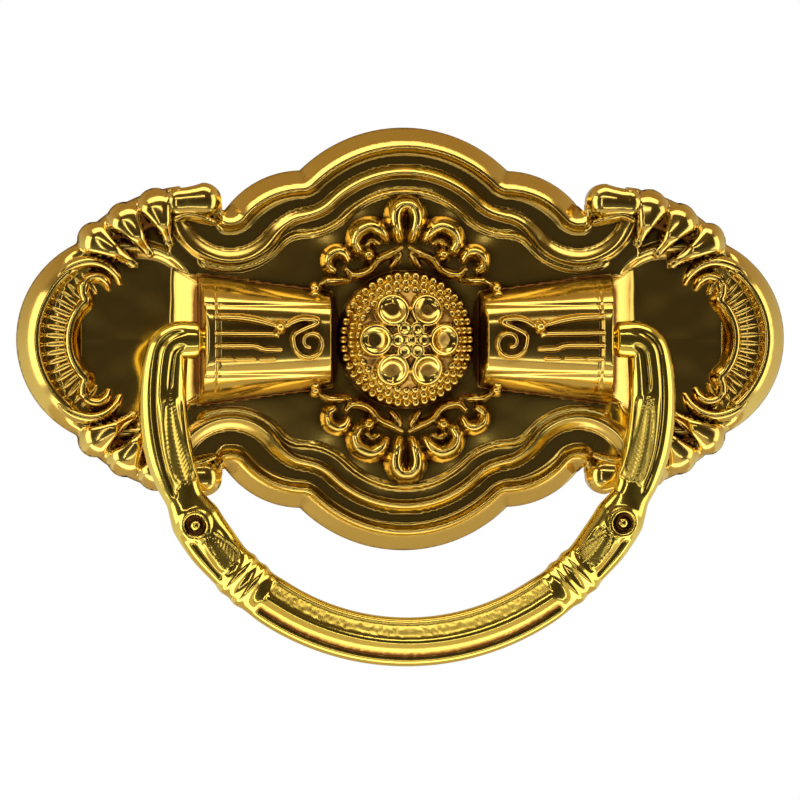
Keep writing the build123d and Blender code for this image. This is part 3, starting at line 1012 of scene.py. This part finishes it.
def reed_tree():
    """Geometry tree for a fan of reeds round a shell end."""
    names = ("Count", "Circle", "Length", "Width", "Span", "Start", "Rise", "Offset")
    graph, given = geometry_tree("reed_fan", names)
    sweep = {
        "Resolution": given["Count"],
        "Radius": given["Circle"],
        "Start Angle": given["Start"],
        "Sweep Angle": given["Span"],
    }
    arc = graph.add("GeometryNodeCurveArc", None, sweep)
    spots = graph.add("GeometryNodeCurveToPoints", {"mode": "EVALUATED"}, {"Curve": arc}, result="Points")
    tangent = {"Vector": spots.beside("Tangent")}
    reed = {"Segments": 16, "Rings": 12, "Radius": 0.5}
    fan = {
        "Points": spots,
        "Instance": graph.add("GeometryNodeMeshUVSphere", None, reed),
        "Rotation": graph.add("FunctionNodeAlignRotationToVector", {"axis": "X"}, tangent),
        "Scale": graph.vector(X=given["Width"], Y=given["Length"], Z=given["Width"]),
    }
    reeds = graph.add("GeometryNodeInstanceOnPoints", None, fan)
    return close_tree(graph, reeds, graph.vector(X=given["Offset"], Z=given["Rise"]))


def run_tree(piece, tree, values):
    """Run a geometry tree on a piece with the given inputs and keep the mesh."""
    modifier = piece.modifiers.new(tree.name, "NODES")
    modifier.node_group = tree
    for item in tree.interface.items_tree:
        if item.in_out == "INPUT" and item.name in values:
            modifier[item.identifier] = values[item.name]
    bake(piece)


# Pieces


def plate_of(context):
    """The pressed plate in the scene's sizes."""
    return PressedPlate(millimetres(context.scene.ring_pull_plate))


class RINGPULL_OT_backplate(bpy.types.Operator):
    """Pressed sheet of the backplate, with its waved rim, shell ends, barrels and dome"""

    bl_idname = "ring_pull.backplate"
    bl_label = "Pressed backplate"

    # Share of the triangles that is kept; those at the back go first
    KEPT = 0.6
    # Facings that were averaged with the back's are shorter than this and are left to the mesh
    LEAST_FACING = 0.9

    def execute(self, context):
        points, faces, tone, normal, behind = sheet_mesh(plate_of(context))
        piece = link_mesh("pressed_plate", points, faces)
        paint(piece, "shade_and_patina", tone)
        stored = piece.data.attributes.new("facing", "FLOAT_VECTOR", "POINT")
        stored.data.foreach_set("vector", normal.astype(np.float32).ravel())
        group = piece.vertex_groups.new(name="back")
        group.add(np.flatnonzero(behind).tolist(), 1.0, "REPLACE")
        thin = piece.modifiers.new("thin_back", "DECIMATE")
        thin.ratio = self.KEPT
        thin.vertex_group = "back"
        bake(piece)
        piece.vertex_groups.clear()
        self.shade_front(piece.data)
        finish_piece(piece, "plate", "pressed_brass")
        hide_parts("backplate")
        return {"FINISHED"}

    def shade_front(self, mesh):
        """Shade the front by the stored facing of the relief."""
        normal = np.zeros(3 * len(mesh.vertices), dtype=np.float32)
        mesh.attributes["facing"].data.foreach_get("vector", normal)
        normal = normal.reshape(-1, 3)
        normal[np.linalg.norm(normal, axis=1) < self.LEAST_FACING] = 0
        mesh.attributes.remove(mesh.attributes["facing"])
        mesh.normals_split_custom_set_from_vertices(normal.tolist())


class RINGPULL_OT_rosette(bpy.types.Operator):
    """Flower on the dome and the rings of beads round it"""

    bl_idname = "ring_pull.rosette"
    bl_label = "Rosette"

    RINGS = 64
    SPOKES = 252
    INNER_PETALS = 6
    INNER_PETAL_CIRCLE = 1.85
    # Fillet between the petals, lift of the flower off the dome and sink of its edge into it
    FILLET = 0.1
    LIFT = 0.06
    SINK = 0.5
    # Brown of painted shade and patina between the petals and in their dishes, and the rise over which it
    # clears
    PETAL_SHADE_AND_PATINA = 0.75
    TONE_CLEARS = 0.3
    # Middle of a bead above the dome, as a share of its radius
    BEAD_SEAT = 0.15

    def petals(self, x, z, count, circle, shape):
        """Height of a ring of petals above the dome."""
        rise = np.zeros_like(x)
        for number in range(count):
            turn = 2 * math.pi * (number + 0.5) / count
            off = np.hypot(x - circle * math.sin(turn), z - circle * math.cos(turn))
            rise = np.maximum(rise, profile(shape, off))
        return rise

    def execute(self, context):
        plate = plate_of(context)
        size = millimetres(context.scene.ring_pull_ornament)
        self.flower(plate, size)
        tree = bead_ring_tree()
        for number, name in enumerate(("outer", "middle", "inner")):
            ring = size.bead_circle - number * size.bead_pitch
            rise = float(plate.dome(ring)) + size.bead_radius * self.BEAD_SEAT
            inputs = {
                "Count": round(size.bead_count * ring / size.bead_circle),
                "Ring": ring * MM,
                "Bead": size.bead_radius * MM,
                "Rise": rise * MM,
            }
            piece = link_mesh(f"rosette_beads_{name}", [(0, 0, 0)], [])
            run_tree(piece, tree, inputs)
            finish_piece(piece, "plate", "chased_brass")
        return {"FINISHED"}

    def flower(self, plate, size):
        """Flower as one closed cap on the dome."""
        radius = np.linspace(0, size.flower_radius, self.RINGS)[1:]
        turn = np.arange(self.SPOKES) * 2 * math.pi / self.SPOKES
        r, t = np.meshgrid(radius, turn, indexing="ij")
        x, z = r * np.sin(t), r * np.cos(t)
        rise = self.petals(x, z, size.petal_count, size.petal_circle, PETAL_PROFILE)
        inner = self.petals(x, z, self.INNER_PETALS, self.INNER_PETAL_CIRCLE, INNER_PETAL_PROFILE)
        for part in (inner, profile(BUTTON_PROFILE, r)):
            rise = upper(rise, part, self.FILLET)
        height = plate.dome(r) + rise + self.LIFT
        foot = float(plate.dome(size.flower_radius)) - self.SINK
        height[-1] = foot
        top = float(plate.dome(0.0)) + BUTTON_PROFILE[0][1] + self.LIFT
        rings = np.stack((x, height, z), axis=2)
        points, faces = capped_rings(rings, (0.0, top, 0.0), (0.0, foot, 0.0))
        piece = link_mesh("rosette_flower", points, faces)
        # Painted shade and patina, darkest where the flower lies lowest
        tone = np.clip(1 - rise.ravel() / self.TONE_CLEARS, 0, 1) * self.PETAL_SHADE_AND_PATINA
        paint(piece, "shade_and_patina", np.concatenate((tone, [0.0, 1.0])))
        outward(piece)
        finish_piece(piece, "plate", "chased_brass")


class RINGPULL_OT_shell_ends(bpy.types.Operator):
    """Reeds and C-scrolls of the two shell ends"""

    bl_idname = "ring_pull.shell_ends"
    bl_label = "Shell ends"

    REED_LIFT = 2.5
    REACH = (26.5, 52.0)
    HALF_HEIGHT = 19.2

    def execute(self, context):
        plate = plate_of(context)
        size = millimetres(context.scene.ring_pull_ornament)
        near, far = self.REACH
        tree = reed_tree()
        for side, name, low, high in ((1, "right", near, far), (-1, "left", -far, -near)):
            box = (low, high, -self.HALF_HEIGHT, self.HALF_HEIGHT)
            relief_piece(f"c_scroll_{name}", self.rise, box, plate)
            reeds = link_mesh(f"reeds_{name}", [(0, 0, 0)], [])
            values = {
                "Count": size.reed_count,
                "Circle": size.reed_circle * MM,
                "Length": size.reed_length * MM,
                "Width": size.reed_width * MM,
                "Span": size.reed_span,
                "Start": -size.reed_span / 2 + (0.0 if side > 0 else math.pi),
                "Rise": self.REED_LIFT * MM,
                "Offset": side * plate.size.end_center * MM,
            }
            run_tree(reeds, tree, values)
            finish_piece(reeds, "plate", "chased_brass")
        return {"FINISHED"}

    def rise(self, x, z, ground):
        """Rise of the C-scroll and its hooks above the plate."""
        return np.maximum(ridges(np.abs(x), np.abs(z), shell_paths(), level=True) - ground, 0)


class RINGPULL_OT_palmettes(bpy.types.Operator):
    """Leaves and curling stems above and below the rosette"""

    bl_idname = "ring_pull.palmettes"
    bl_label = "Palmettes"

    HALF_WIDTH = 13.8
    REACH = (6.2, 21.0)

    def execute(self, context):
        plate = plate_of(context)
        near, far = self.REACH
        for name, low, high in (("upper", near, far), ("lower", -far, -near)):
            box = (-self.HALF_WIDTH, self.HALF_WIDTH, low, high)
            relief_piece(f"palmette_{name}", self.rise, box, plate)
        return {"FINISHED"}

    def rise(self, x, z, ground):
        """Rise of the head, the leaves and the stems."""
        return ridges(np.abs(x), np.abs(z), palmette_paths())


class RINGPULL_OT_barrel_scrolls(bpy.types.Operator):
    """Stem, volute and fingers chased on each barrel"""

    bl_idname = "ring_pull.barrel_scrolls"
    bl_label = "Barrel scrolls"

    REACH = (10.8, 28.8)
    HALF_HEIGHT = 4.2

    def execute(self, context):
        plate = plate_of(context)
        near, far = self.REACH
        for name, low, high in (("right", near, far), ("left", -far, -near)):
            box = (low, high, -self.HALF_HEIGHT, self.HALF_HEIGHT)
            relief_piece(f"barrel_scroll_{name}", self.rise, box, plate)
        return {"FINISHED"}

    def rise(self, x, z, ground):
        """Rise of the lines on a barrel."""
        return ridges(np.abs(x), z, barrel_paths())


class RINGPULL_OT_bail(bpy.types.Operator):
    """Cast bail with its leaves, ties, scroll eyes, stippled panel and pintles"""

    bl_idname = "ring_pull.bail"
    bl_label = "Cast bail"

    STATION_STEP = 0.21
    SIDES = 80
    SQUARENESS = 2.1
    # Share of the depth at which the carving of the front sets in
    FACE = (0.15, 0.55)
    # Stretches along the bail, each with the places between which it fades in and out
    BOW = ((-2.0, -1.0), (22.4, 21.7))
    LOW = ((27.6, 28.8), (35.4, 34.2))
    ARM = ((40.6, 42.0), (65.0, 62.5))
    ELBOW = ((54.5, 57.0), (65.0, 62.5))
    # Ridges and grooves along the front: rise, place across, spread, stretch
    LINES = (
        (-0.14, -3.05, 0.16, BOW),
        (0.24, -0.1, 0.5, BOW),
        (-0.5, 1.85, 0.7, BOW),
        (-0.42, 1.15, 0.32, ARM),
        (-0.42, -0.9, 0.35, ELBOW),
        (-0.36, 1.9, 0.4, LOW),
    )
    # Ties: places along, rise, spread; scroll eye: place along and across
    TIES_AT = (24.6, 27.0)
    TIE_RISE = 0.3
    TIE_SPREAD = 0.55
    SCROLL_AT = (36.2, 0.5)
    # Stippled panel of the bow: edges across, softness, depth, slope, height and seed of the stipple
    PANEL_EDGES = (-2.8, -0.8)
    PANEL_SOFTNESS = 0.3
    PANEL_DEPTH = 0.1
    PANEL_SLOPE = 0.26
    STIPPLE = 0.08
    STIPPLE_SEED = 7
    # Leaves on the arms and below the scrolls: start and end along, middle across, half width, nick spacing
    LEAVES = ((41.8, 55.4, -0.95, 1.8, 0.62), (28.2, 34.6, -0.6, 2.0, 0.66))
    # Their sloping ground: sides, ends, slope, line it turns about
    LEAF_SIDES = (1.9, 1.4)
    LEAF_ENDS = (1, 3)
    LEAF_SLOPE = 0.3
    LEAF_HINGE = -0.9
    # Outline of a leaf: share of its length over which it widens, power of its point, softness, depth
    LEAF_WIDENS = 0.2
    LEAF_POINT = 0.45
    LEAF_SOFTNESS = 0.35
    LEAF_DEPTH = 0.14
    # Nicks: depth, slant; vein: rise, spread; lip: rise, place, spread; where along the leaf the lip fades
    NICKS = (0.17, 0.9)
    VEIN = (0.18, 0.25)
    LIP = (0.2, -0.1, 0.28)
    LIP_FADES = (0.02, 0.1)
    # Mattness of the leaves; brown of painted shade and patina in the carving: depth that is all brown,
    # power
    LEAF_MATT = 0.7
    CARVED_SHADE_AND_PATINA = (0.55, 1.5)

    def line(self, size):
        """Centre line from the lowest point to the right-hand pintle's tip: distance, place, direction."""
        bend = math.asin((size.bow_drop - size.elbow_radius) / (size.bow_radius - size.elbow_radius))
        elbow_x = (size.bow_radius - size.elbow_radius) * math.cos(bend)
        bow = size.bow_radius * (math.pi / 2 + bend)
        elbow = size.elbow_radius * (math.pi / 2 - bend)
        total = bow + elbow + elbow_x - size.pintle_tip
        along = np.linspace(0, total, int(total / self.STATION_STEP))
        turn = np.minimum(along, bow) / size.bow_radius - math.pi / 2
        x, z = size.bow_radius * np.cos(turn), -size.bow_drop + size.bow_radius * np.sin(turn)
        heading = turn + math.pi / 2
        curl = bend + np.clip(along - bow, 0, elbow) / size.elbow_radius
        past = along > bow
        x = np.where(past, elbow_x + size.elbow_radius * np.cos(curl), x)
        z = np.where(past, -size.elbow_radius + size.elbow_radius * np.sin(curl), z)
        heading = np.where(past, curl + math.pi / 2, heading)
        x = x - np.maximum(along - bow - elbow, 0)
        return along, x, z, heading

    def stretch(self, along, reach):
        """Share of a stretch along the bail."""
        starts, ends = reach
        return fade(*starts, along) * fade(*ends, along)

    def panel(self, along, across):
        """Share of the stippled panel along the bow."""
        inner, outer = self.PANEL_EDGES
        soft = self.PANEL_SOFTNESS
        inside = fade(inner, inner + soft, across) * fade(outer, outer - soft, across)
        return inside * self.stretch(along, self.BOW)

    def leaves(self, along, across):
        """Share of the leaves on the arms and below the scrolls."""
        share = np.zeros_like(along)
        first, last = self.LEAF_ENDS
        for start, end, middle, _, _ in self.LEAVES:
            inside = fade(*self.LEAF_SIDES, np.abs(across - middle))
            inside = inside * self.stretch(along, ((start, start + first), (end, end - last)))
            share = np.maximum(share, inside)
        return share

    def carving(self, along, across):
        """Height of the carving on the front, at a distance along the bail and across it."""
        grain = np.random.RandomState(self.STIPPLE_SEED).uniform(-1, 1, along.shape)
        slope = self.PANEL_SLOPE * (across - self.PANEL_EDGES[1])
        rise = self.panel(along, across) * (self.STIPPLE * grain - self.PANEL_DEPTH + slope)
        for height, place, spread, reach in self.LINES:
            rise = rise + height * self.stretch(along, reach) * bell(across, place, spread)
        for place in self.TIES_AT:
            rise = rise + self.TIE_RISE * bell(along, place, self.TIE_SPREAD)
        off = np.hypot(along - self.SCROLL_AT[0], across - self.SCROLL_AT[1])
        rise = rise + profile(SCROLL_EYE_PROFILE, off)
        for start, end, middle, half_width, pitch in self.LEAVES:
            rise = rise + self.leaf(along, across - middle, start, end, half_width, pitch)
        return rise + self.LEAF_SLOPE * self.leaves(along, across) * (across - self.LEAF_HINGE)

    def leaf(self, along, across, start, end, half_width, pitch):
        """Sunk leaf, round at its start and pointed at its end, with a vein and slanting nicks."""
        share = np.clip((along - start) / (end - start), 0, 1)
        edge = half_width * np.sqrt(np.minimum(share / self.LEAF_WIDENS, 1)) * (1 - share) ** self.LEAF_POINT
        inset = edge - np.abs(across)
        depth, slant = self.NICKS
        nicks = depth * np.cos(2 * np.pi * (along - slant * np.abs(across)) / pitch)
        rise, spread = self.VEIN
        vein = rise * bell(across, 0, spread)
        rise, place, spread = self.LIP
        lip = rise * bell(inset, place, spread) * fade(*self.LIP_FADES, share * (1 - share))
        return fade(0.0, self.LEAF_SOFTNESS, inset) * (nicks + vein - self.LEAF_DEPTH) + lip

    def section(self, wave):
        """One axis of a section between an ellipse and a rectangle, from a sine or cosine."""
        return np.sign(wave) * np.abs(wave) ** (2 / self.SQUARENESS)

    def execute(self, context):
        size = millimetres(context.scene.ring_pull_bail)
        along, x, z, heading = self.line(size)
        around = np.arange(self.SIDES) * 2 * np.pi / self.SIDES
        out = self.section(np.cos(around))
        wide = profile(BAIL_WIDTH, along)[:, None] * self.section(np.sin(around))
        deep = profile(BAIL_DEPTH, along)[:, None] * out
        station = np.repeat(along[:, None], self.SIDES, axis=1)
        face = fade(*self.FACE, out)
        carved = self.carving(station, wide) * face
        deep = deep + carved
        px = x[:, None] + wide * np.sin(heading)[:, None]
        pz = z[:, None] - wide * np.cos(heading)[:, None]
        half = np.stack((px, size.pivot_height + deep, pz), axis=2)
        rings = np.concatenate((half[:0:-1] * np.array((-1.0, 1.0, 1.0)), half))
        points, faces = capped_rings(rings, rings[0].mean(axis=0), rings[-1].mean(axis=0))
        piece = link_mesh("cast_bail", points, faces)
        leaves = self.LEAF_MATT * self.leaves(station, wide)
        rough = np.maximum(self.panel(station, wide), leaves) * face
        # Painted shade and patina: brown in the sunk carving, less of it on the matt parts
        full, power = self.CARVED_SHADE_AND_PATINA
        tone = np.clip(-carved / full, 0, 1) ** power * (1 - rough)
        for name, values in (("shade_and_patina", tone), ("matt", rough)):
            both = np.concatenate((values[:0:-1], values))
            paint(piece, name, np.concatenate((both.ravel(), [0.0, 0.0])))
        outward(piece)
        finish_piece(piece, "bail", "cast_brass")
        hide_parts("bail")
        return {"FINISHED"}


class RINGPULL_OT_posts(bpy.types.Operator):
    """Turned brass on the two threaded posts"""

    bl_idname = "ring_pull.posts"
    bl_label = "Threaded posts"

    def execute(self, context):
        material = brass_of("turned_brass")
        for name in ("left_post", "right_post"):
            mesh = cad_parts[name].data
            mesh.materials.clear()
            mesh.materials.append(material)
        return {"FINISHED"}


class RINGPULL_OT_stage(bpy.types.Operator):
    """Floor, lamps, world and camera"""

    bl_idname = "ring_pull.stage"
    bl_label = "Studio"

    # Name, place and size in metres, brightness of the lit panel and its colour
    LAMPS = (
        ("top_panel", (0.0, -0.13, 0.45), (0.8, 0.2), 2.3, (1.0, 0.93, 0.8)),
        ("low_panel", (0.0, -0.04, -0.138), (0.4, 0.05), 2.2, (1.0, 0.98, 0.92)),
        ("left_panel", (-0.45, -0.13, 0.0), (0.22, 0.5), 1.9, (1.0, 0.95, 0.85)),
        ("right_panel", (0.45, -0.13, 0.0), (0.22, 0.5), 1.6, (1.0, 0.95, 0.85)),
        ("top_strip", (-0.1, -0.46, 0.27), (0.5, 0.05), 3.0, (1.0, 0.95, 0.84)),
        ("low_strip", (0.05, -0.46, -0.27), (0.5, 0.04), 2.6, (1.0, 0.98, 0.9)),
        ("left_strip", (-0.28, -0.46, 0.0), (0.04, 0.4), 3.0, (1.0, 0.95, 0.84)),
    )
    AIM = (0.0, 0.0, -0.008)
    # Floor: corners, radius (mm), its two greys and the scale of their speckle
    FLOOR_CORNERS = 96
    FLOOR_RADIUS = 200.0
    FLOOR_TINTS = ((0.86, 0.86, 0.86), (0.9, 0.9, 0.9))
    SPECKLE_SCALE = 60.0
    # Colours of the room, low and high, and how they change with height
    COOL = (1.0, 0.98, 0.9)
    WARM = (1.0, 0.68, 0.34)
    TINT = (0.8, 0.5)
    # What counts as behind the pull: growth with depth, share at the pull
    BEHIND = (2.0, 0.95)
    # Sky on the camera's side: growth with height, brightness; brightness of the table there
    SKY = (0.6, 0.5)
    TABLE = 0.9
    # Strength of the room behind the pull, of the side with the camera, and everywhere
    ROOM = (0.36, 0.2, 0.045)
    # White backdrop in reflections: share at eye level, fall with height
    REFLECTED = (0.42, 0.5)
    # Camera: width of its sensor (mm) and the nearest thing it sees (m)
    SENSOR = 36.0
    NEAREST = 0.01

    def execute(self, context):
        size = context.scene.ring_pull_stage
        self.floor(size)
        for name, place, area, brightness, tint in self.LAMPS:
            lamp = bpy.data.lights.new(name, "AREA")
            lamp.shape = "RECTANGLE"
            lamp.size, lamp.size_y = area
            lamp.energy = brightness * math.pi * area[0] * area[1]
            lamp.color = tint
            lit = bpy.data.objects.new(name, lamp)
            lit.location = place
            lit.rotation_euler = (Vector(self.AIM) - Vector(place)).to_track_quat("-Z", "Y").to_euler()
            context.collection.objects.link(lit)
        self.world(context.scene)
        self.camera(context, size)
        context.scene.view_settings.view_transform = "Standard"
        return {"FINISHED"}

    def floor(self, size):
        """Round pale floor below the pull."""
        turn = 2 * math.pi * np.arange(self.FLOOR_CORNERS) / self.FLOOR_CORNERS
        down = np.full_like(turn, -size.floor_drop / MM)
        points = np.stack((self.FLOOR_RADIUS * np.cos(turn), self.FLOOR_RADIUS * np.sin(turn), down), axis=1)
        piece = link_mesh("studio_floor", points, [range(self.FLOOR_CORNERS - 1, -1, -1)], smooth=False)
        material = bpy.data.materials.new("pale_floor")
        material.use_nodes = True
        graph = Graph(material.node_tree)
        place = graph.add("ShaderNodeTexCoord", result=3)
        speckle = graph.add("ShaderNodeTexNoise", None, {"Vector": place, "Scale": self.SPECKLE_SCALE})
        base = graph.mix(speckle, *self.FLOOR_TINTS)
        shader = graph.add("ShaderNodeBsdfPrincipled", None, {"Base Color": base, "Roughness": 0.8})
        graph.add("ShaderNodeOutputMaterial", None, {"Surface": shader})
        piece.data.materials.append(material)

    def world(self, scene):
        """White backdrop, a pale room behind the pull and a dim one on the camera's side."""
        world = bpy.data.worlds.new("studio_room")
        scene.world = world
        world.use_nodes = True
        graph = Graph(world.node_tree)
        facing_ray = graph.add("ShaderNodeTexCoord", result=0)
        parts = graph.add("ShaderNodeSeparateXYZ", None, {"Vector": facing_ray})
        depth, height = parts.beside(1), parts.beside(2)
        growth, share = self.BEHIND
        behind = (depth * growth + share).clamped()
        growth, brightness = self.SKY
        before = (height * growth).clamped() * brightness + (0.0 - height).clamped() * self.TABLE
        far, near, least = self.ROOM
        level = behind * far + before * (1.0 - behind) * near + least
        growth, share = self.TINT
        tint = graph.mix((height * growth + share).clamped(), self.COOL, self.WARM)
        path = graph.add("ShaderNodeLightPath")
        rays = ("Camera", "Glossy", "Transmission")
        camera, glossy, clear = (path.beside(f"Is {ray} Ray") for ray in rays)
        share, fall = self.REFLECTED
        mirrored = (glossy + clear) * behind * (share - height * fall).clamped()
        seen = (camera + mirrored).clamped()
        room = graph.add("ShaderNodeBackground", None, {"Color": tint, "Strength": level})
        white = {"Color": (1.0, 1.0, 1.0, 1.0), "Strength": 1.0}
        backdrop = graph.add("ShaderNodeBackground", None, white)
        mixed = graph.add("ShaderNodeMixShader", None, {0: seen, 1: room, 2: backdrop})
        graph.add("ShaderNodeOutputWorld", None, {"Surface": mixed})

    def camera(self, context, size):
        """Long lens at the photograph's angle."""
        view = bpy.data.cameras.new("photo_camera")
        view.sensor_width = self.SENSOR
        view.lens = view.sensor_width * size.distance / size.view_width
        view.clip_start = self.NEAREST
        aim = Vector((-size.aim_left, 0.0, -size.aim_height))
        back = Vector((
            math.sin(size.azimuth) * math.cos(size.elevation),
            -math.cos(size.azimuth) * math.cos(size.elevation),
            math.sin(size.elevation),
        ))
        camera = bpy.data.objects.new("photo_camera", view)
        camera.location = aim + back * size.distance
        camera.rotation_euler = (-back).to_track_quat("-Z", "Y").to_euler()
        context.collection.objects.link(camera)
        context.scene.camera = camera


PIECE_OPERATORS = (
    RINGPULL_OT_backplate,
    RINGPULL_OT_rosette,
    RINGPULL_OT_shell_ends,
    RINGPULL_OT_palmettes,
    RINGPULL_OT_barrel_scrolls,
    RINGPULL_OT_bail,
    RINGPULL_OT_posts,
    RINGPULL_OT_stage,
)


class RINGPULL_PT_sidebar(bpy.types.Panel):
    """Buttons and sizes of the ring pull"""

    bl_idname = "RINGPULL_PT_sidebar"
    bl_label = "Ring Pull"
    bl_space_type = "VIEW_3D"
    bl_region_type = "UI"
    bl_category = "Ring Pull"

    def draw(self, context):
        for operator in PIECE_OPERATORS:
            self.layout.operator(operator.bl_idname)
        for name, group in SETTINGS.items():
            box = self.layout.box()
            for prop in group.__annotations__:
                box.prop(getattr(context.scene, name), prop)


CLASSES = (*SETTINGS.values(), *PIECE_OPERATORS, RINGPULL_PT_sidebar)


def register():
    """Register the classes and hang the settings on the scene."""
    for each in CLASSES:
        bpy.utils.register_class(each)
    for name, group in SETTINGS.items():
        setattr(bpy.types.Scene, name, bpy.props.PointerProperty(type=group))


def unregister():
    """Take the settings and classes away again."""
    for name in SETTINGS:
        delattr(bpy.types.Scene, name)
    for each in reversed(CLASSES):
        bpy.utils.unregister_class(each)


def main():
    """Build every piece and the studio."""
    register()
    for operator in PIECE_OPERATORS:
        group, name = operator.bl_idname.split(".")
        getattr(getattr(bpy.ops, group), name)()


if __name__ == "__main__":
    main()
